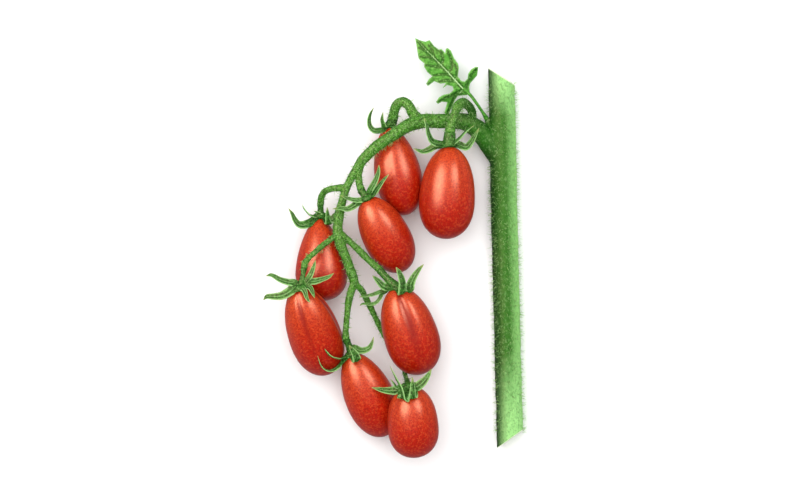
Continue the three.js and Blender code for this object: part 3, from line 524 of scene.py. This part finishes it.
def tomato(index, material):
    """One fruit: a plum shape with shallow furrows and a tiny scar at the blossom end."""
    fruit = TOMATOES[index]
    centre, axis = np.array(fruit["centre"]), stem_direction(fruit)
    side = unit(np.cross((0, 0, 1), axis))
    up = np.cross(axis, side)
    turn = np.linspace(0, np.pi, FRUIT_RINGS + 1)[1:-1]
    along = -np.cos(turn)[:, None] * np.ones(FRUIT_SIDES)
    around = np.linspace(0, 2 * np.pi, FRUIT_SIDES, endpoint=False)
    angle = around[None, :] * np.ones((FRUIT_RINGS - 1, 1))
    depth = furrow_depth(fruit, along, angle)
    radius = bare_radius(fruit, along) * (1 - depth)
    reach = -along * fruit["length"] / 2
    places = (centre + axis * reach[..., None] - side * (radius * np.cos(angle))[..., None]
              + up * (radius * np.sin(angle))[..., None])
    ends = centre + np.array([1, -1])[:, None] * axis * fruit["length"] / 2
    vertices, faces = loft(places)
    faces = faces[:-2]  # the flat ends give way to a fan around each end point
    last = len(vertices) - FRUIT_SIDES
    stem_end, blossom_end = len(vertices), len(vertices) + 1
    for k in range(FRUIT_SIDES):
        following = (k + 1) % FRUIT_SIDES
        faces.append([stem_end, following, k])
        faces.append([blossom_end, last + k, last + following])
    vertices = np.vstack([vertices, ends])
    vertices[:, 2] = np.maximum(vertices[:, 2], 0)
    piece = mesh_object(f"tomato_{index + 1}", vertices, faces)
    piece.data.flip_normals()
    # The place along the fruit, which the skin turns into ripening colour with painted light and
    # shade, and into the scar.
    paint(piece, "ripeness_and_painted_light", np.append(along.ravel(), [-1, 1]))
    # The furrows' depth, which the skin turns into painted shade in them.
    paint(piece, "furrow", np.append(depth.ravel(), [0, 0]))
    dress(piece, material, [f"tomato_{index + 1}"])
    return piece


def clear_of_fruits(points, clearance):
    """Points moved out of every fruit until they are clear of its skin."""
    moved = np.array(points, float)
    for fruit in TOMATOES:
        centre, axis = np.array(fruit["centre"]), stem_direction(fruit)
        offset = moved - centre
        reach = np.linalg.norm(offset, axis=1)
        direction = offset / np.maximum(reach, 1e-9)[:, None]
        cosine = -direction @ axis
        sine = np.sqrt(np.maximum(0, 1 - cosine ** 2))
        low, high = np.zeros(len(moved)), np.full(len(moved), float(fruit["length"]))
        for _ in range(30):  # halves the range around the skin each time
            middle = (low + high) / 2
            along = 2 * middle * cosine / fruit["length"]
            radius = bare_radius(fruit, np.clip(along, -1, 1))
            inside = (np.abs(along) < 1) & (middle * sine < radius)
            low, high = np.where(inside, middle, low), np.where(inside, high, middle)
        wanted = low + clearance
        moved = np.where((reach < wanted)[:, None], centre + direction * wanted[:, None], moved)
    return moved


# Stems

def knuckle(line, at_start):
    """Swells a stalk towards its knuckle and rounds the very end."""
    line = line.copy()
    run = np.concatenate([[0], np.cumsum(np.linalg.norm(np.diff(line[:, :3], axis=0), axis=1))])
    from_end = run if at_start else run[-1] - run
    swelling = 1 + KNUCKLE_SWELLING * np.exp(-(from_end / KNUCKLE_REACH) ** 2)
    line[:, 3] *= swelling * np.where(from_end < 0.25, 0.9, 1)
    return line


def main_stem_line():
    """The main stem's middle as x, y, z, radius: it lies on the floor."""
    return [(x, y, STEM_DIAMETER / 2, STEM_DIAMETER / 2) for x, y in MAIN_STEM_LINE]


def main_stem_skin():
    """Skin of the main stem, cut slantwise at both ends."""
    line = even_line(main_stem_line(), STEM_STEP)
    angle = np.linspace(0, 2 * np.pi, STEM_SIDES, endpoint=False)
    rings = np.repeat(line[:, None, :3], len(angle), axis=1)
    ribs = RIB_HEIGHT * np.sin(STEM_RIBS * angle + line[:, 1:2] / RIB_TWIST)
    radius = line[:, 3:4] * (1 + ribs)
    rings[..., 0] += radius * np.cos(angle)
    rings[..., 2] += radius * np.sin(angle)
    reach = (line[:, 1] - line[-1, 1]) / (line[0, 1] - line[-1, 1])
    top = np.clip((reach - (1 - CUT_ZONE)) / CUT_ZONE, 0, 1)[:, None]
    bottom = np.clip((CUT_ZONE - reach) / CUT_ZONE, 0, 1)[:, None]
    slant = top * STEM_CUTS[0] + bottom * STEM_CUTS[1]
    rings[..., 1] += slant * radius * np.cos(angle)
    return loft(rings[:, ::-1])


def stem_tissue(material):
    """The main stem and the truss stalk with its branches, grown together."""
    skins = [
        main_stem_skin(),
        tube(even_line(RACHIS, RACHIS_STEP), RACHIS_SIDES),
        tube(even_line(LEAF_AXIL, AXIL_STEP), AXIL_SIDES),
    ]
    for stalk in FRUIT_STALKS:
        line = even_line(stalk["line"], STALK_STEP, 0, stalk["joint"])
        skins.append(tube(knuckle(line, at_start=False)))
    piece = grown_together("stem_and_truss_stalk", skins, STEM_GRAIN, STEM_EASING)
    roughen(piece, size=2.2, height=0.16)
    roughen(piece, size=6, height=0.25, shift=9.1)
    places = vertex_places(piece)
    places[:, 2] = np.maximum(places[:, 2], 0)
    move_vertices(piece, places)
    x, y = places[:, 0], places[:, 1]
    top, bottom = MAIN_STEM_LINE[0], MAIN_STEM_LINE[-1]
    upward = np.array(MAIN_STEM_LINE[::-1])
    # Distance from the middle of the main stem over its radius. The skin of the
    # main stem lies between -1 and 1 and the truss stalk below -1.2.
    across = (x - np.interp(y, upward[:, 1], upward[:, 0])) / (STEM_DIAMETER / 2)
    from_top = top[1] + STEM_CUTS[0] * (x - top[0]) - y
    from_bottom = y - bottom[1] - STEM_CUTS[1] * (x - bottom[0])
    pale_top = np.clip(1 - from_top / PALE_TOP, 0, 1)
    pale_bottom = np.clip(1 - from_bottom / PALE_BOTTOM, 0, 1)
    main = np.clip((across + 3.6) / 2.4, 0, 1)
    collar = np.exp(-((y - COLLAR_PLACE) / COLLAR_REACH) ** 2)
    uncut = 9
    paint(piece, "main", main)
    # Painted shade down the left of the main stem, left out where the truss stalk leaves it, and
    # painted light down its right.
    paint(piece, "shaded_side", np.clip((-across - 0.15) / 0.8, 0, 1) * main * (1 - collar))
    paint(piece, "lit_side", np.clip((across - 0.2) / 0.7, 0, 1))
    paint(piece, "fading", np.maximum(pale_top, pale_bottom))
    paint(piece, "cut", np.where(across > -1.2, np.minimum(from_top, from_bottom), uncut))
    dress(piece, material, ["main_stem", "truss_stalk"])
    return piece


def sepal_skin(hub, outward, width, line):
    """Skin of one sepal: a pointed blade folded along its midrib, draped over the fruits."""
    line = [tuple(hub)] + line
    radial = np.array(line[-1]) - hub
    radial = unit(radial - outward * radial.dot(outward))
    turn = SEPAL_TURN * (1 - abs(radial[2]))
    natural = np.cross(outward, radial)
    at = np.linspace(0, 1, SEPAL_STEPS)
    path = spline(line, at * (len(line) - 1))
    tangent = unit(np.gradient(path, axis=0))
    level = unit(np.cross((0, 0, 1), tangent))
    side = natural * (1 - turn) + level * turn
    side = unit(side - tangent * np.sum(side * tangent, axis=1, keepdims=True))
    normal = np.cross(tangent, side)
    half = width / 2 * np.interp(at, np.linspace(0, 1, len(SEPAL_TAPER)), SEPAL_TAPER)
    tip_thinning = np.minimum(1, (1 - at) * 4 + 0.35)  # over the last sixth
    across = np.linspace(-1, 1, SEPAL_COLUMNS)
    rings, marks = [], []
    for over in (0, 1):  # the underside, then the upper side
        for u in across if over == 0 else across[::-1]:
            thickness = SEPAL_THICKNESS * (1 - SEPAL_THINNING * abs(u) ** 2) * tip_thinning
            groove = SEPAL_GROOVE_DEPTH * math.exp(-(u / SEPAL_GROOVE_WIDTH) ** 2) * over
            lift = abs(u) * half * SEPAL_FOLD + over * thickness - groove
            corner = path + side * (u * half)[:, None] + normal * lift[:, None]
            rings.append(clear_of_fruits(corner, SKIN_GAP + over * SEPAL_THICKNESS * 0.9))
            marks.append((at, np.full(len(at), u), np.full(len(at), float(over))))
    places = np.array(rings).transpose(1, 0, 2)
    at_u_over = np.array(marks).transpose(2, 0, 1)
    return loft(places), places.reshape(-1, 3), at_u_over.reshape(-1, 3)


def cushion_line(hub, outward):
    """The cushion that the sepals grow from, as rows of x, y, z, radius."""
    outline = np.array(CUSHION_OUTLINE)
    places = hub + outward * (CUSHION_LIFT + outline[:, :1] * CUSHION_HEIGHT)
    return np.column_stack([places, outline[:, 1] * CUSHION_RADIUS])


def calyx(index, material):
    """The fruit's own end of its stalk and its sepals, grown together."""
    stalk, outward = FRUIT_STALKS[index], stem_direction(TOMATOES[index])
    hub = np.array(stalk["line"][-1][:3])
    fruit_end = even_line(stalk["line"], CALYX_STEP, stalk["joint"])
    cushion = tube(cushion_line(hub, outward), CUSHION_SIDES)
    skins = [tube(knuckle(fruit_end, at_start=True)), cushion]
    samples, marks = [], []
    for width, line in SEPALS[index]:
        skin, places, at_u_over = sepal_skin(hub, outward, width, line)
        skins.append(skin)
        samples.append(places)
        marks.append(at_u_over)
    piece = grown_together(f"calyx_{index + 1}", skins, CALYX_GRAIN, CALYX_EASING)
    samples, marks = np.vstack(samples), np.vstack(marks)
    tree = kdtree.KDTree(len(samples))
    for k, place in enumerate(samples):
        tree.insert(place, k)
    tree.balance()
    places = vertex_places(piece)
    found = [tree.find(place) for place in places]
    nearest = marks[[f[1] for f in found]]
    distance = np.array([f[2] for f in found])
    at, across, over = nearest[:, 0], np.abs(nearest[:, 1]), nearest[:, 2]
    # The marks count from an eighth of a sepal's length on and in full from a third.
    on_blade = np.clip(1.5 - distance, 0, 1) * np.clip(at * 5 - 0.6, 0, 1)
    paint(piece, "along", at * on_blade)
    paint(piece, "edge", across * on_blade)
    paint(piece, "midrib", np.clip(1 - across * 6, 0, 1) * on_blade * over)
    roughen(piece, size=1.4, height=0.06)
    dress(piece, material, [f"calyx_{index + 1}"])
    return piece


# Leaf

def leaf_height(x, y):
    """Height of the leaf: it droops to the tip and folds along the midrib."""
    base, tip = (np.array(p, float) for p in LEAF_MIDRIB)
    run = tip - base
    offset = np.column_stack([x, y]) - base
    along = offset @ run / run.dot(run)
    across = np.abs(offset[:, 0] * run[1] - offset[:, 1] * run[0]) / np.linalg.norm(run)
    droop = np.where(along > 0, LEAF_RISE * along - LEAF_DROOP * along ** 2, 8 * along)
    wave = LEAF_WAVE * np.sin(along * 14) * np.minimum(1, across / 5)
    fold = LEAF_FOLD * across * np.clip(1 + 4 * along, 0, 1)
    return LEAF_BASE_HEIGHT + droop + fold + wave


def vein_distance(points):
    """Distance to the nearest vein, growing as the vein thins towards its end."""
    best = np.full(len(points), 99.0)
    for number, vein in enumerate(LEAF_VEINS):
        line = even_line([(x, y, 0) for x, y in vein], 0.3)[:, :2]
        gap = np.linalg.norm(points[:, None] - line[None], axis=2)
        thinning = np.linspace(0, 0.45 if number else 0.2, len(line)) + (0.15 if number else 0)
        best = np.minimum(best, (gap + thinning[None]).min(axis=1))
    return best


def leaf(material):
    """The toothed leaf, its blade raised between sunken veins, with its stalk."""
    edge = np.array(LEAF_EDGE)
    around = np.vstack([edge, edge[:1]])
    contour = []
    for a, b in zip(around[:-1], around[1:]):
        steps = max(1, int(np.linalg.norm(b - a) / LEAF_MESH))
        contour.extend(a + (b - a) * k / steps for k in range(steps))
    contour = np.array(contour)
    low, high = edge.min(0), edge.max(0)
    rows = np.arange(low[1], high[1], LEAF_MESH * 0.87)
    columns = np.arange(low[0], high[0], LEAF_MESH)
    grid = [(x + (i % 2) * LEAF_MESH / 2, y) for i, y in enumerate(rows) for x in columns]
    grid = np.array(grid)
    apart = np.array([np.min(np.hypot(*(contour - point).T)) for point in grid])
    grid = grid[apart > LEAF_MESH * 0.6]
    points = [Vector(p) for p in np.vstack([contour, grid])]
    ring = [list(range(len(contour)))[::-1]]
    flat, _, triangles, *_ = geometry.delaunay_2d_cdt(points, [], ring, 1, 1e-6)
    flat = np.array(flat)
    depth = vein_distance(flat)
    vein = np.exp(-(depth / VEIN_WIDTH) ** 2)
    # Painted shade in the hollow on either side of each vein.
    valley_shade = np.exp(-((depth - VALLEY_PLACE) / VALLEY_WIDTH) ** 2)
    rim = np.hypot(*(flat[:, None, k] - contour[None, :, k] for k in (0, 1))).min(axis=1)
    inner = np.clip(rim, 0, 1)  # the last millimetre thins to a plain edge
    puff = LEAF_PUFF * np.clip(depth / 1.2, 0, 1) * inner
    spots = [Vector((x / CRINKLE_SIZE, y / CRINKLE_SIZE, 4)) for x, y in flat]
    crinkle = np.array([noise.noise(spot) for spot in spots]) * LEAF_CRINKLE * inner
    height = leaf_height(flat[:, 0], flat[:, 1]) + 0.2 + puff + crinkle
    upper = np.column_stack([flat, height + LEAF_THICKNESS])
    lower = np.column_stack([flat, height])
    count = len(flat)
    faces = [list(t) for t in triangles] + [[c + count for c in t[::-1]] for t in triangles]
    edges = {(t[k], t[(k + 1) % 3]) for t in triangles for k in range(3)}
    faces += [[b, a, a + count, b + count] for a, b in edges if (b, a) not in edges]
    stalk_skin = tube(even_line(LEAF_STALK, LEAF_STALK_STEP), LEAF_STALK_SIDES)
    vertices, all_faces = together([(np.vstack([upper, lower]), faces), stalk_skin])
    piece = mesh_object("leaf", vertices, all_faces)
    bare = np.zeros(len(stalk_skin[0]))
    paint(piece, "vein", np.concatenate([vein, vein * 0.6, bare]))
    paint(piece, "valley_shade", np.concatenate([valley_shade, np.zeros(count), bare]))
    paint(piece, "rim", np.concatenate([rim, rim, bare + 2]))
    dress(piece, material, ["leaf"])
    return piece


# Hairs

def hairs(name, lines, spacing, length, material):
    """Fine hairs standing out of stalks, one for each so many square millimetres of skin."""
    roots, ways = [], []
    for line in lines:
        tangent, side, other = line_frames(line)
        step = np.linalg.norm(np.diff(line[:2, :3], axis=0))
        count = int(len(line) * step * 2 * math.pi * line[:, 3].mean() / spacing)
        place = rng.uniform(0, len(line) - 1, count)
        row = place.astype(int)
        angle = rng.uniform(0, 2 * math.pi, count)[:, None]
        outward = side[row] * np.cos(angle) + other[row] * np.sin(angle)
        centre = line[row, :3] + (line[row + 1, :3] - line[row, :3]) * (place - row)[:, None]
        roots.append(centre + outward * (line[row, 3:4] - HAIR_ROOT))
        # They lean at random, on average a little towards the end of the line.
        lean = tangent[row] * rng.normal(0.1, 0.35, (count, 1)) + rng.normal(0, 0.25, (count, 3))
        ways.append(unit(outward + lean))
    root, way = np.vstack(roots), np.vstack(ways)
    size = length * rng.uniform(0.55, 1.25, len(root))[:, None]
    bend = rng.normal(0, 0.18, root.shape) * size
    middle, tip = root + way * size * 0.55, root + way * size + bend
    stays = np.linalg.norm(clear_of_fruits(tip, HAIR_GAP) - tip, axis=1) < 1e-6
    stays &= (middle[:, 2] > HAIR_FLOOR_GAP) & (tip[:, 2] > HAIR_FLOOR_GAP)
    stays &= tip[:, 0] < cad_high[0] / MM + HAIR_OVERHANG
    root, way, middle, tip = root[stays], way[stays], middle[stays], tip[stays]
    square = unit(np.cross(way, np.roll(way, 1, axis=1) + 0.01))
    third = np.cross(way, square)
    corners = []
    for place, thickness in ((root, HAIR_THICKNESS / 2), (middle, HAIR_THICKNESS / 3)):
        for k in range(3):
            angle = 2 * math.pi * k / 3
            corners.append(place + (square * math.cos(angle) + third * math.sin(angle)) * thickness)
    corners.append(tip)
    vertices = np.stack(corners, axis=1).reshape(-1, 3)
    base = np.arange(len(root))[:, None] * 7
    quads = [[0, 1, 4, 3], [1, 2, 5, 4], [2, 0, 3, 5]]
    triangles = [[3, 4, 6], [4, 5, 6], [5, 3, 6], [2, 1, 0]]
    faces = [row for face in quads + triangles for row in (base + np.array(face)).tolist()]
    piece = mesh_object(name, vertices, faces)
    dress(piece, material, [])
    return piece


def stalk_lines():
    """The truss stalk outside the main stem, and the fruit stalks up to their knuckles."""
    lines = [even_line(RACHIS[3:], STALK_STEP)]
    for stalk in FRUIT_STALKS:
        lines.append(even_line(stalk["line"], STALK_STEP, 0.6, stalk["joint"]))
    return lines


# Materials

def linear(hex_colour):
    """The linear colour of an sRGB hex value."""
    channels = [int(hex_colour[k:k + 2], 16) / 255 for k in (1, 3, 5)]
    return [c / 12.92 if c <= 0.04045 else ((c + 0.055) / 1.055) ** 2.4 for c in channels] + [1.0]


def add(tree, kind, inputs=None, output=0, **settings):
    """Adds a node with its settings and links, and gives one of its outputs."""
    node = tree.nodes.new("ShaderNode" + kind)
    for name, value in settings.items():
        setattr(node, name, value)
    for name, value in (inputs or {}).items():
        if isinstance(value, bpy.types.NodeSocket):
            tree.links.new(value, node.inputs[name])
        else:
            node.inputs[name].default_value = value
    return node.outputs[output] if node.outputs else None


def laid_over(tree, body, colour, value, none, full, strength):
    """Mixes a colour into a body colour as a value goes from none to full."""
    steps = {"Value": value, "From Min": none, "From Max": full, "To Max": strength}
    share = add(tree, "MapRange", steps)
    return add(tree, "Mix", {0: share, 6: body, 7: linear(colour)}, 2, data_type="RGBA")


def flecks(tree, body, colour, size, cover, strength, stretch=1):
    """Lays flecks of a colour over a body colour: size is about their width in
    millimetres, cover from 0 to 1 how many there are, and stretch how many
    times longer they are along y.
    """
    place = add(tree, "NewGeometry", output="Position")
    drawn = add(tree, "VectorMath", {0: place, 1: (1, 1 / stretch, 1)}, operation="MULTIPLY")
    cells = {"Vector": drawn, "Scale": 1 / (size * MM), "Detail": 2, "Roughness": 0.6}
    spots = add(tree, "TexNoise", cells)
    # The noise is around 0.5. A fleck begins where it passes thin, and has its
    # full strength where it passes full.
    thin, full = 0.62 - 0.25 * cover, 0.74 - 0.25 * cover
    return laid_over(tree, body, colour, spots, thin, full, strength)


def shaded(tree, body, colour, mark, none, full, strength=1):
    """Lays a colour over a body colour, from none to full along a painted mark."""
    value = add(tree, "Attribute", output="Fac", attribute_name=mark)
    return laid_over(tree, body, colour, value, none, full, strength)


def living_skin(tree, body, gloss, relief_size, relief_height):
    """Closes a material: body colour, the shader's own values and fine relief in millimetres."""
    place = add(tree, "NewGeometry", output="Position")
    bumps = add(tree, "TexNoise", {"Vector": place, "Scale": 1 / (relief_size * MM), "Detail": 2})
    relief = add(tree, "Bump", {"Height": bumps, "Distance": relief_height * MM})
    skin = add(tree, "BsdfPrincipled", {"Base Color": body, "Normal": relief, **gloss})
    add(tree, "OutputMaterial", {"Surface": skin})


def new_material(name):
    material = bpy.data.materials.new(name)
    material.use_nodes = True
    material.node_tree.nodes.clear()
    return material, material.node_tree


# Ripe tomato skin is a thin natural wax over red flesh, IOR about 1.45: soft
# broad highlights over a deep red. The flecks are cells of 0.1 mm or less in
# the real skin and are drawn at 0.8 to 1.5 mm, so that they show.
def ripe_tomato_skin():
    material, tree = new_material("ripe_tomato_skin")
    # The red deepens from the stem end to the blossom end: partly ripening colour, partly painted
    # light on the shoulder and painted shade towards the blossom end.
    body = shaded(tree, linear("#be3c15"), "#ac1c04", "ripeness_and_painted_light", none=-0.85, full=0.15)
    body = shaded(tree, body, "#940a00", "ripeness_and_painted_light", none=0.05, full=0.95)
    body = flecks(tree, body, "#dc5c2b", size=1.5, cover=0.55, strength=0.25)
    body = flecks(tree, body, "#800700", size=0.8, cover=0.55, strength=0.6)
    # Painted shade down the furrows.
    body = shaded(tree, body, "#840702", "furrow", none=0.015, full=0.055, strength=0.8)
    body = shaded(tree, body, "#6b4a26", "ripeness_and_painted_light", none=0.9975, full=0.9993)  # the scar
    gloss = {"Roughness": 0.34, "IOR": 1.45, "Specular IOR Level": 0.22}
    living_skin(tree, body, gloss, relief_size=0.8, relief_height=0.03)
    return material


# Young tomato stem is living green tissue, IOR about 1.4, dull from its fine
# hairs: a soft green, with painted shade down one side and painted light down
# the other, and paler at the cuts. Its flecks and streaks of 0.3 mm are drawn
# at 0.7 to 1.3 mm, so that they show.
def green_stem_skin():
    material, tree = new_material("green_stem_skin")
    body = flecks(tree, linear("#377518"), "#0e3804", size=1.3, cover=0.6, strength=0.75)
    body = flecks(tree, body, "#9cd276", size=0.7, cover=0.4, strength=0.4)
    body = shaded(tree, body, "#175e07", "main", none=0, full=1, strength=0.88)
    # Painted light down the right of the main stem.
    body = shaded(tree, body, "#92d076", "lit_side", none=0, full=1, strength=0.9)
    body = shaded(tree, body, "#98d480", "fading", none=0, full=0.8, strength=0.85)
    # Painted shade down the left of the main stem.
    body = shaded(tree, body, "#062a02", "shaded_side", none=0, full=1)
    body = flecks(tree, body, "#17500b", size=0.7, cover=0.5, strength=0.4, stretch=2)
    body = flecks(tree, body, "#a9d98c", size=0.8, cover=0.3, strength=0.18, stretch=2)
    body = shaded(tree, body, "#dcebc6", "cut", none=0.6, full=0.25)
    gloss = {"Roughness": 0.6, "IOR": 1.4, "Specular IOR Level": 0.15}
    living_skin(tree, body, gloss, relief_size=0.9, relief_height=0.12)
    return material


# Sepals are thin living blades, IOR about 1.4 and dull: dark green in the
# middle, pale along the rim and dry and yellowish at the tip. The pale rim of
# 0.2 mm is drawn at about 0.5 mm and the flecks at 0.8 to 1.3 mm, so that they
# show.
def sepal_blade_skin():
    material, tree = new_material("sepal_blade_skin")
    body = flecks(tree, linear("#275f18"), "#0c3208", size=1.3, cover=0.6, strength=0.9)
    body = flecks(tree, body, "#7db465", size=0.8, cover=0.35, strength=0.45)
    body = shaded(tree, body, "#96c87a", "edge", none=0.62, full=0.92, strength=0.85)
    body = shaded(tree, body, "#8cb874", "midrib", none=0.3, full=1, strength=0.45)
    body = shaded(tree, body, "#a9b168", "along", none=0.86, full=1, strength=0.7)
    gloss = {"Roughness": 0.55, "IOR": 1.4, "Specular IOR Level": 0.15}
    living_skin(tree, body, gloss, relief_size=0.7, relief_height=0.08)
    return material


# A young leaf blade is thin and dull, IOR about 1.4: fresh green and pale on
# the veins, with painted shade in the hollows beside them. Its veins of 0.2 mm
# are drawn at about 0.5 mm and its flecks at 1 to 1.8 mm, so that they show.
def young_leaf_skin():
    material, tree = new_material("young_leaf_skin")
    body = flecks(tree, linear("#47902c"), "#1a5a0c", size=1.8, cover=0.55, strength=0.7)
    # Painted shade in the hollows beside the veins.
    body = shaded(tree, body, "#104806", "valley_shade", none=0.15, full=0.8, strength=0.85)
    body = flecks(tree, body, "#86c863", size=1.0, cover=0.35, strength=0.35)
    body = shaded(tree, body, "#c2e3aa", "vein", none=0.3, full=0.85, strength=0.95)
    body = shaded(tree, body, "#98cc7e", "rim", none=0.6, full=0.1, strength=0.6)
    gloss = {"Roughness": 0.55, "IOR": 1.4, "Specular IOR Level": 0.15}
    living_skin(tree, body, gloss, relief_size=0.9, relief_height=0.1)
    return material


# Plant hairs are clear cells, IOR about 1.4, that read as a faint green fuzz.
def plant_hair_skin():
    material, tree = new_material("plant_hair_skin")
    fuzz = {"Base Color": linear("#8fc070"), "Roughness": 0.6, "IOR": 1.4}
    add(tree, "OutputMaterial", {"Surface": add(tree, "BsdfPrincipled", fuzz)})
    return material


# The floor is white card, pressed fibres so matt that they give no highlight.
def white_card():
    material, tree = new_material("white_card")
    card = {"Base Color": linear("#f4f4f4"), "Roughness": 0.9, "Specular IOR Level": 0.1}
    add(tree, "OutputMaterial", {"Surface": add(tree, "BsdfPrincipled", card)})
    return material


# Studio

def soft_light(name, toward, distance, size, power, colour="#ffffff"):
    """Round soft light on the truss, with its distance and size in metres."""
    light = bpy.data.lights.new(name, "AREA")
    light.shape = "DISK"
    light.size = size
    light.energy = power
    light.color = linear(colour)[:3]
    lamp = bpy.data.objects.new(name, light)
    lamp.location = Vector(toward).normalized() * distance
    lamp.rotation_euler = (-lamp.location).to_track_quat("-Z", "Y").to_euler()
    lamp.visible_camera = False
    bpy.context.scene.collection.objects.link(lamp)
    return lamp


def studio():
    """Pale floor, soft light from above and both sides, and the camera straight above."""
    reach = FLOOR_SIZE / 2
    corners = [(-reach, -reach, 0), (reach, -reach, 0), (reach, reach, 0), (-reach, reach, 0)]
    floor = mesh_object("floor", corners, [[0, 1, 2, 3]])
    floor.location.z = -FLOOR_DROP * MM
    floor.visible_glossy = False  # so that the fruits' rims stay deep red
    floor.data.materials.append(white_card())
    world = bpy.data.worlds.new("studio")
    world.use_nodes = True
    sky = world.node_tree.nodes["Background"].inputs
    sky["Color"].default_value = linear("#ffffff")
    sky["Strength"].default_value = SKY_STRENGTH
    bpy.context.scene.world = world
    overhead = soft_light("overhead_light", (-0.1, 0.2, 1), distance=1.5, size=2.4, power=42)
    overhead.visible_glossy = False
    # The two sheen lights give peach highlights and light nothing else up.
    left_sheen = soft_light("left_sheen", (-0.56, 0.28, 0.78), distance=0.95, size=0.75,
                            power=60, colour="#ffd6ae")
    left_sheen.visible_diffuse = False
    right_sheen = soft_light("right_sheen", (0.54, 0.38, 0.75), distance=0.95, size=0.5,
                             power=26, colour="#ffdcba")
    right_sheen.visible_diffuse = False
    camera = bpy.data.objects.new("camera", bpy.data.cameras.new("camera"))
    camera.location = (FRAME_MIDDLE[0] * MM, FRAME_MIDDLE[1] * MM, CAMERA_HEIGHT)
    camera.data.sensor_width = SENSOR_WIDTH
    camera.data.lens = SENSOR_WIDTH * CAMERA_HEIGHT / (FRAME_WIDTH * MM)
    camera.data.clip_end = 20
    bpy.context.scene.collection.objects.link(camera)
    bpy.context.scene.camera = camera
    bpy.context.scene.view_settings.view_transform = "Standard"


skin = ripe_tomato_skin()
blade = sepal_blade_skin()
hair = plant_hair_skin()
for number in range(len(TOMATOES)):
    tomato(number, skin)
    calyx(number, blade)
stem_tissue(green_stem_skin())
leaf(young_leaf_skin())
uncut_stem = even_line(main_stem_line(), STEM_STEP)[4:-4]
hairs("stem_hairs", [uncut_stem], spacing=3.6, length=2.5, material=hair)
hairs("stalk_hairs", stalk_lines(), spacing=3.4, length=1.9, material=hair)
studio()
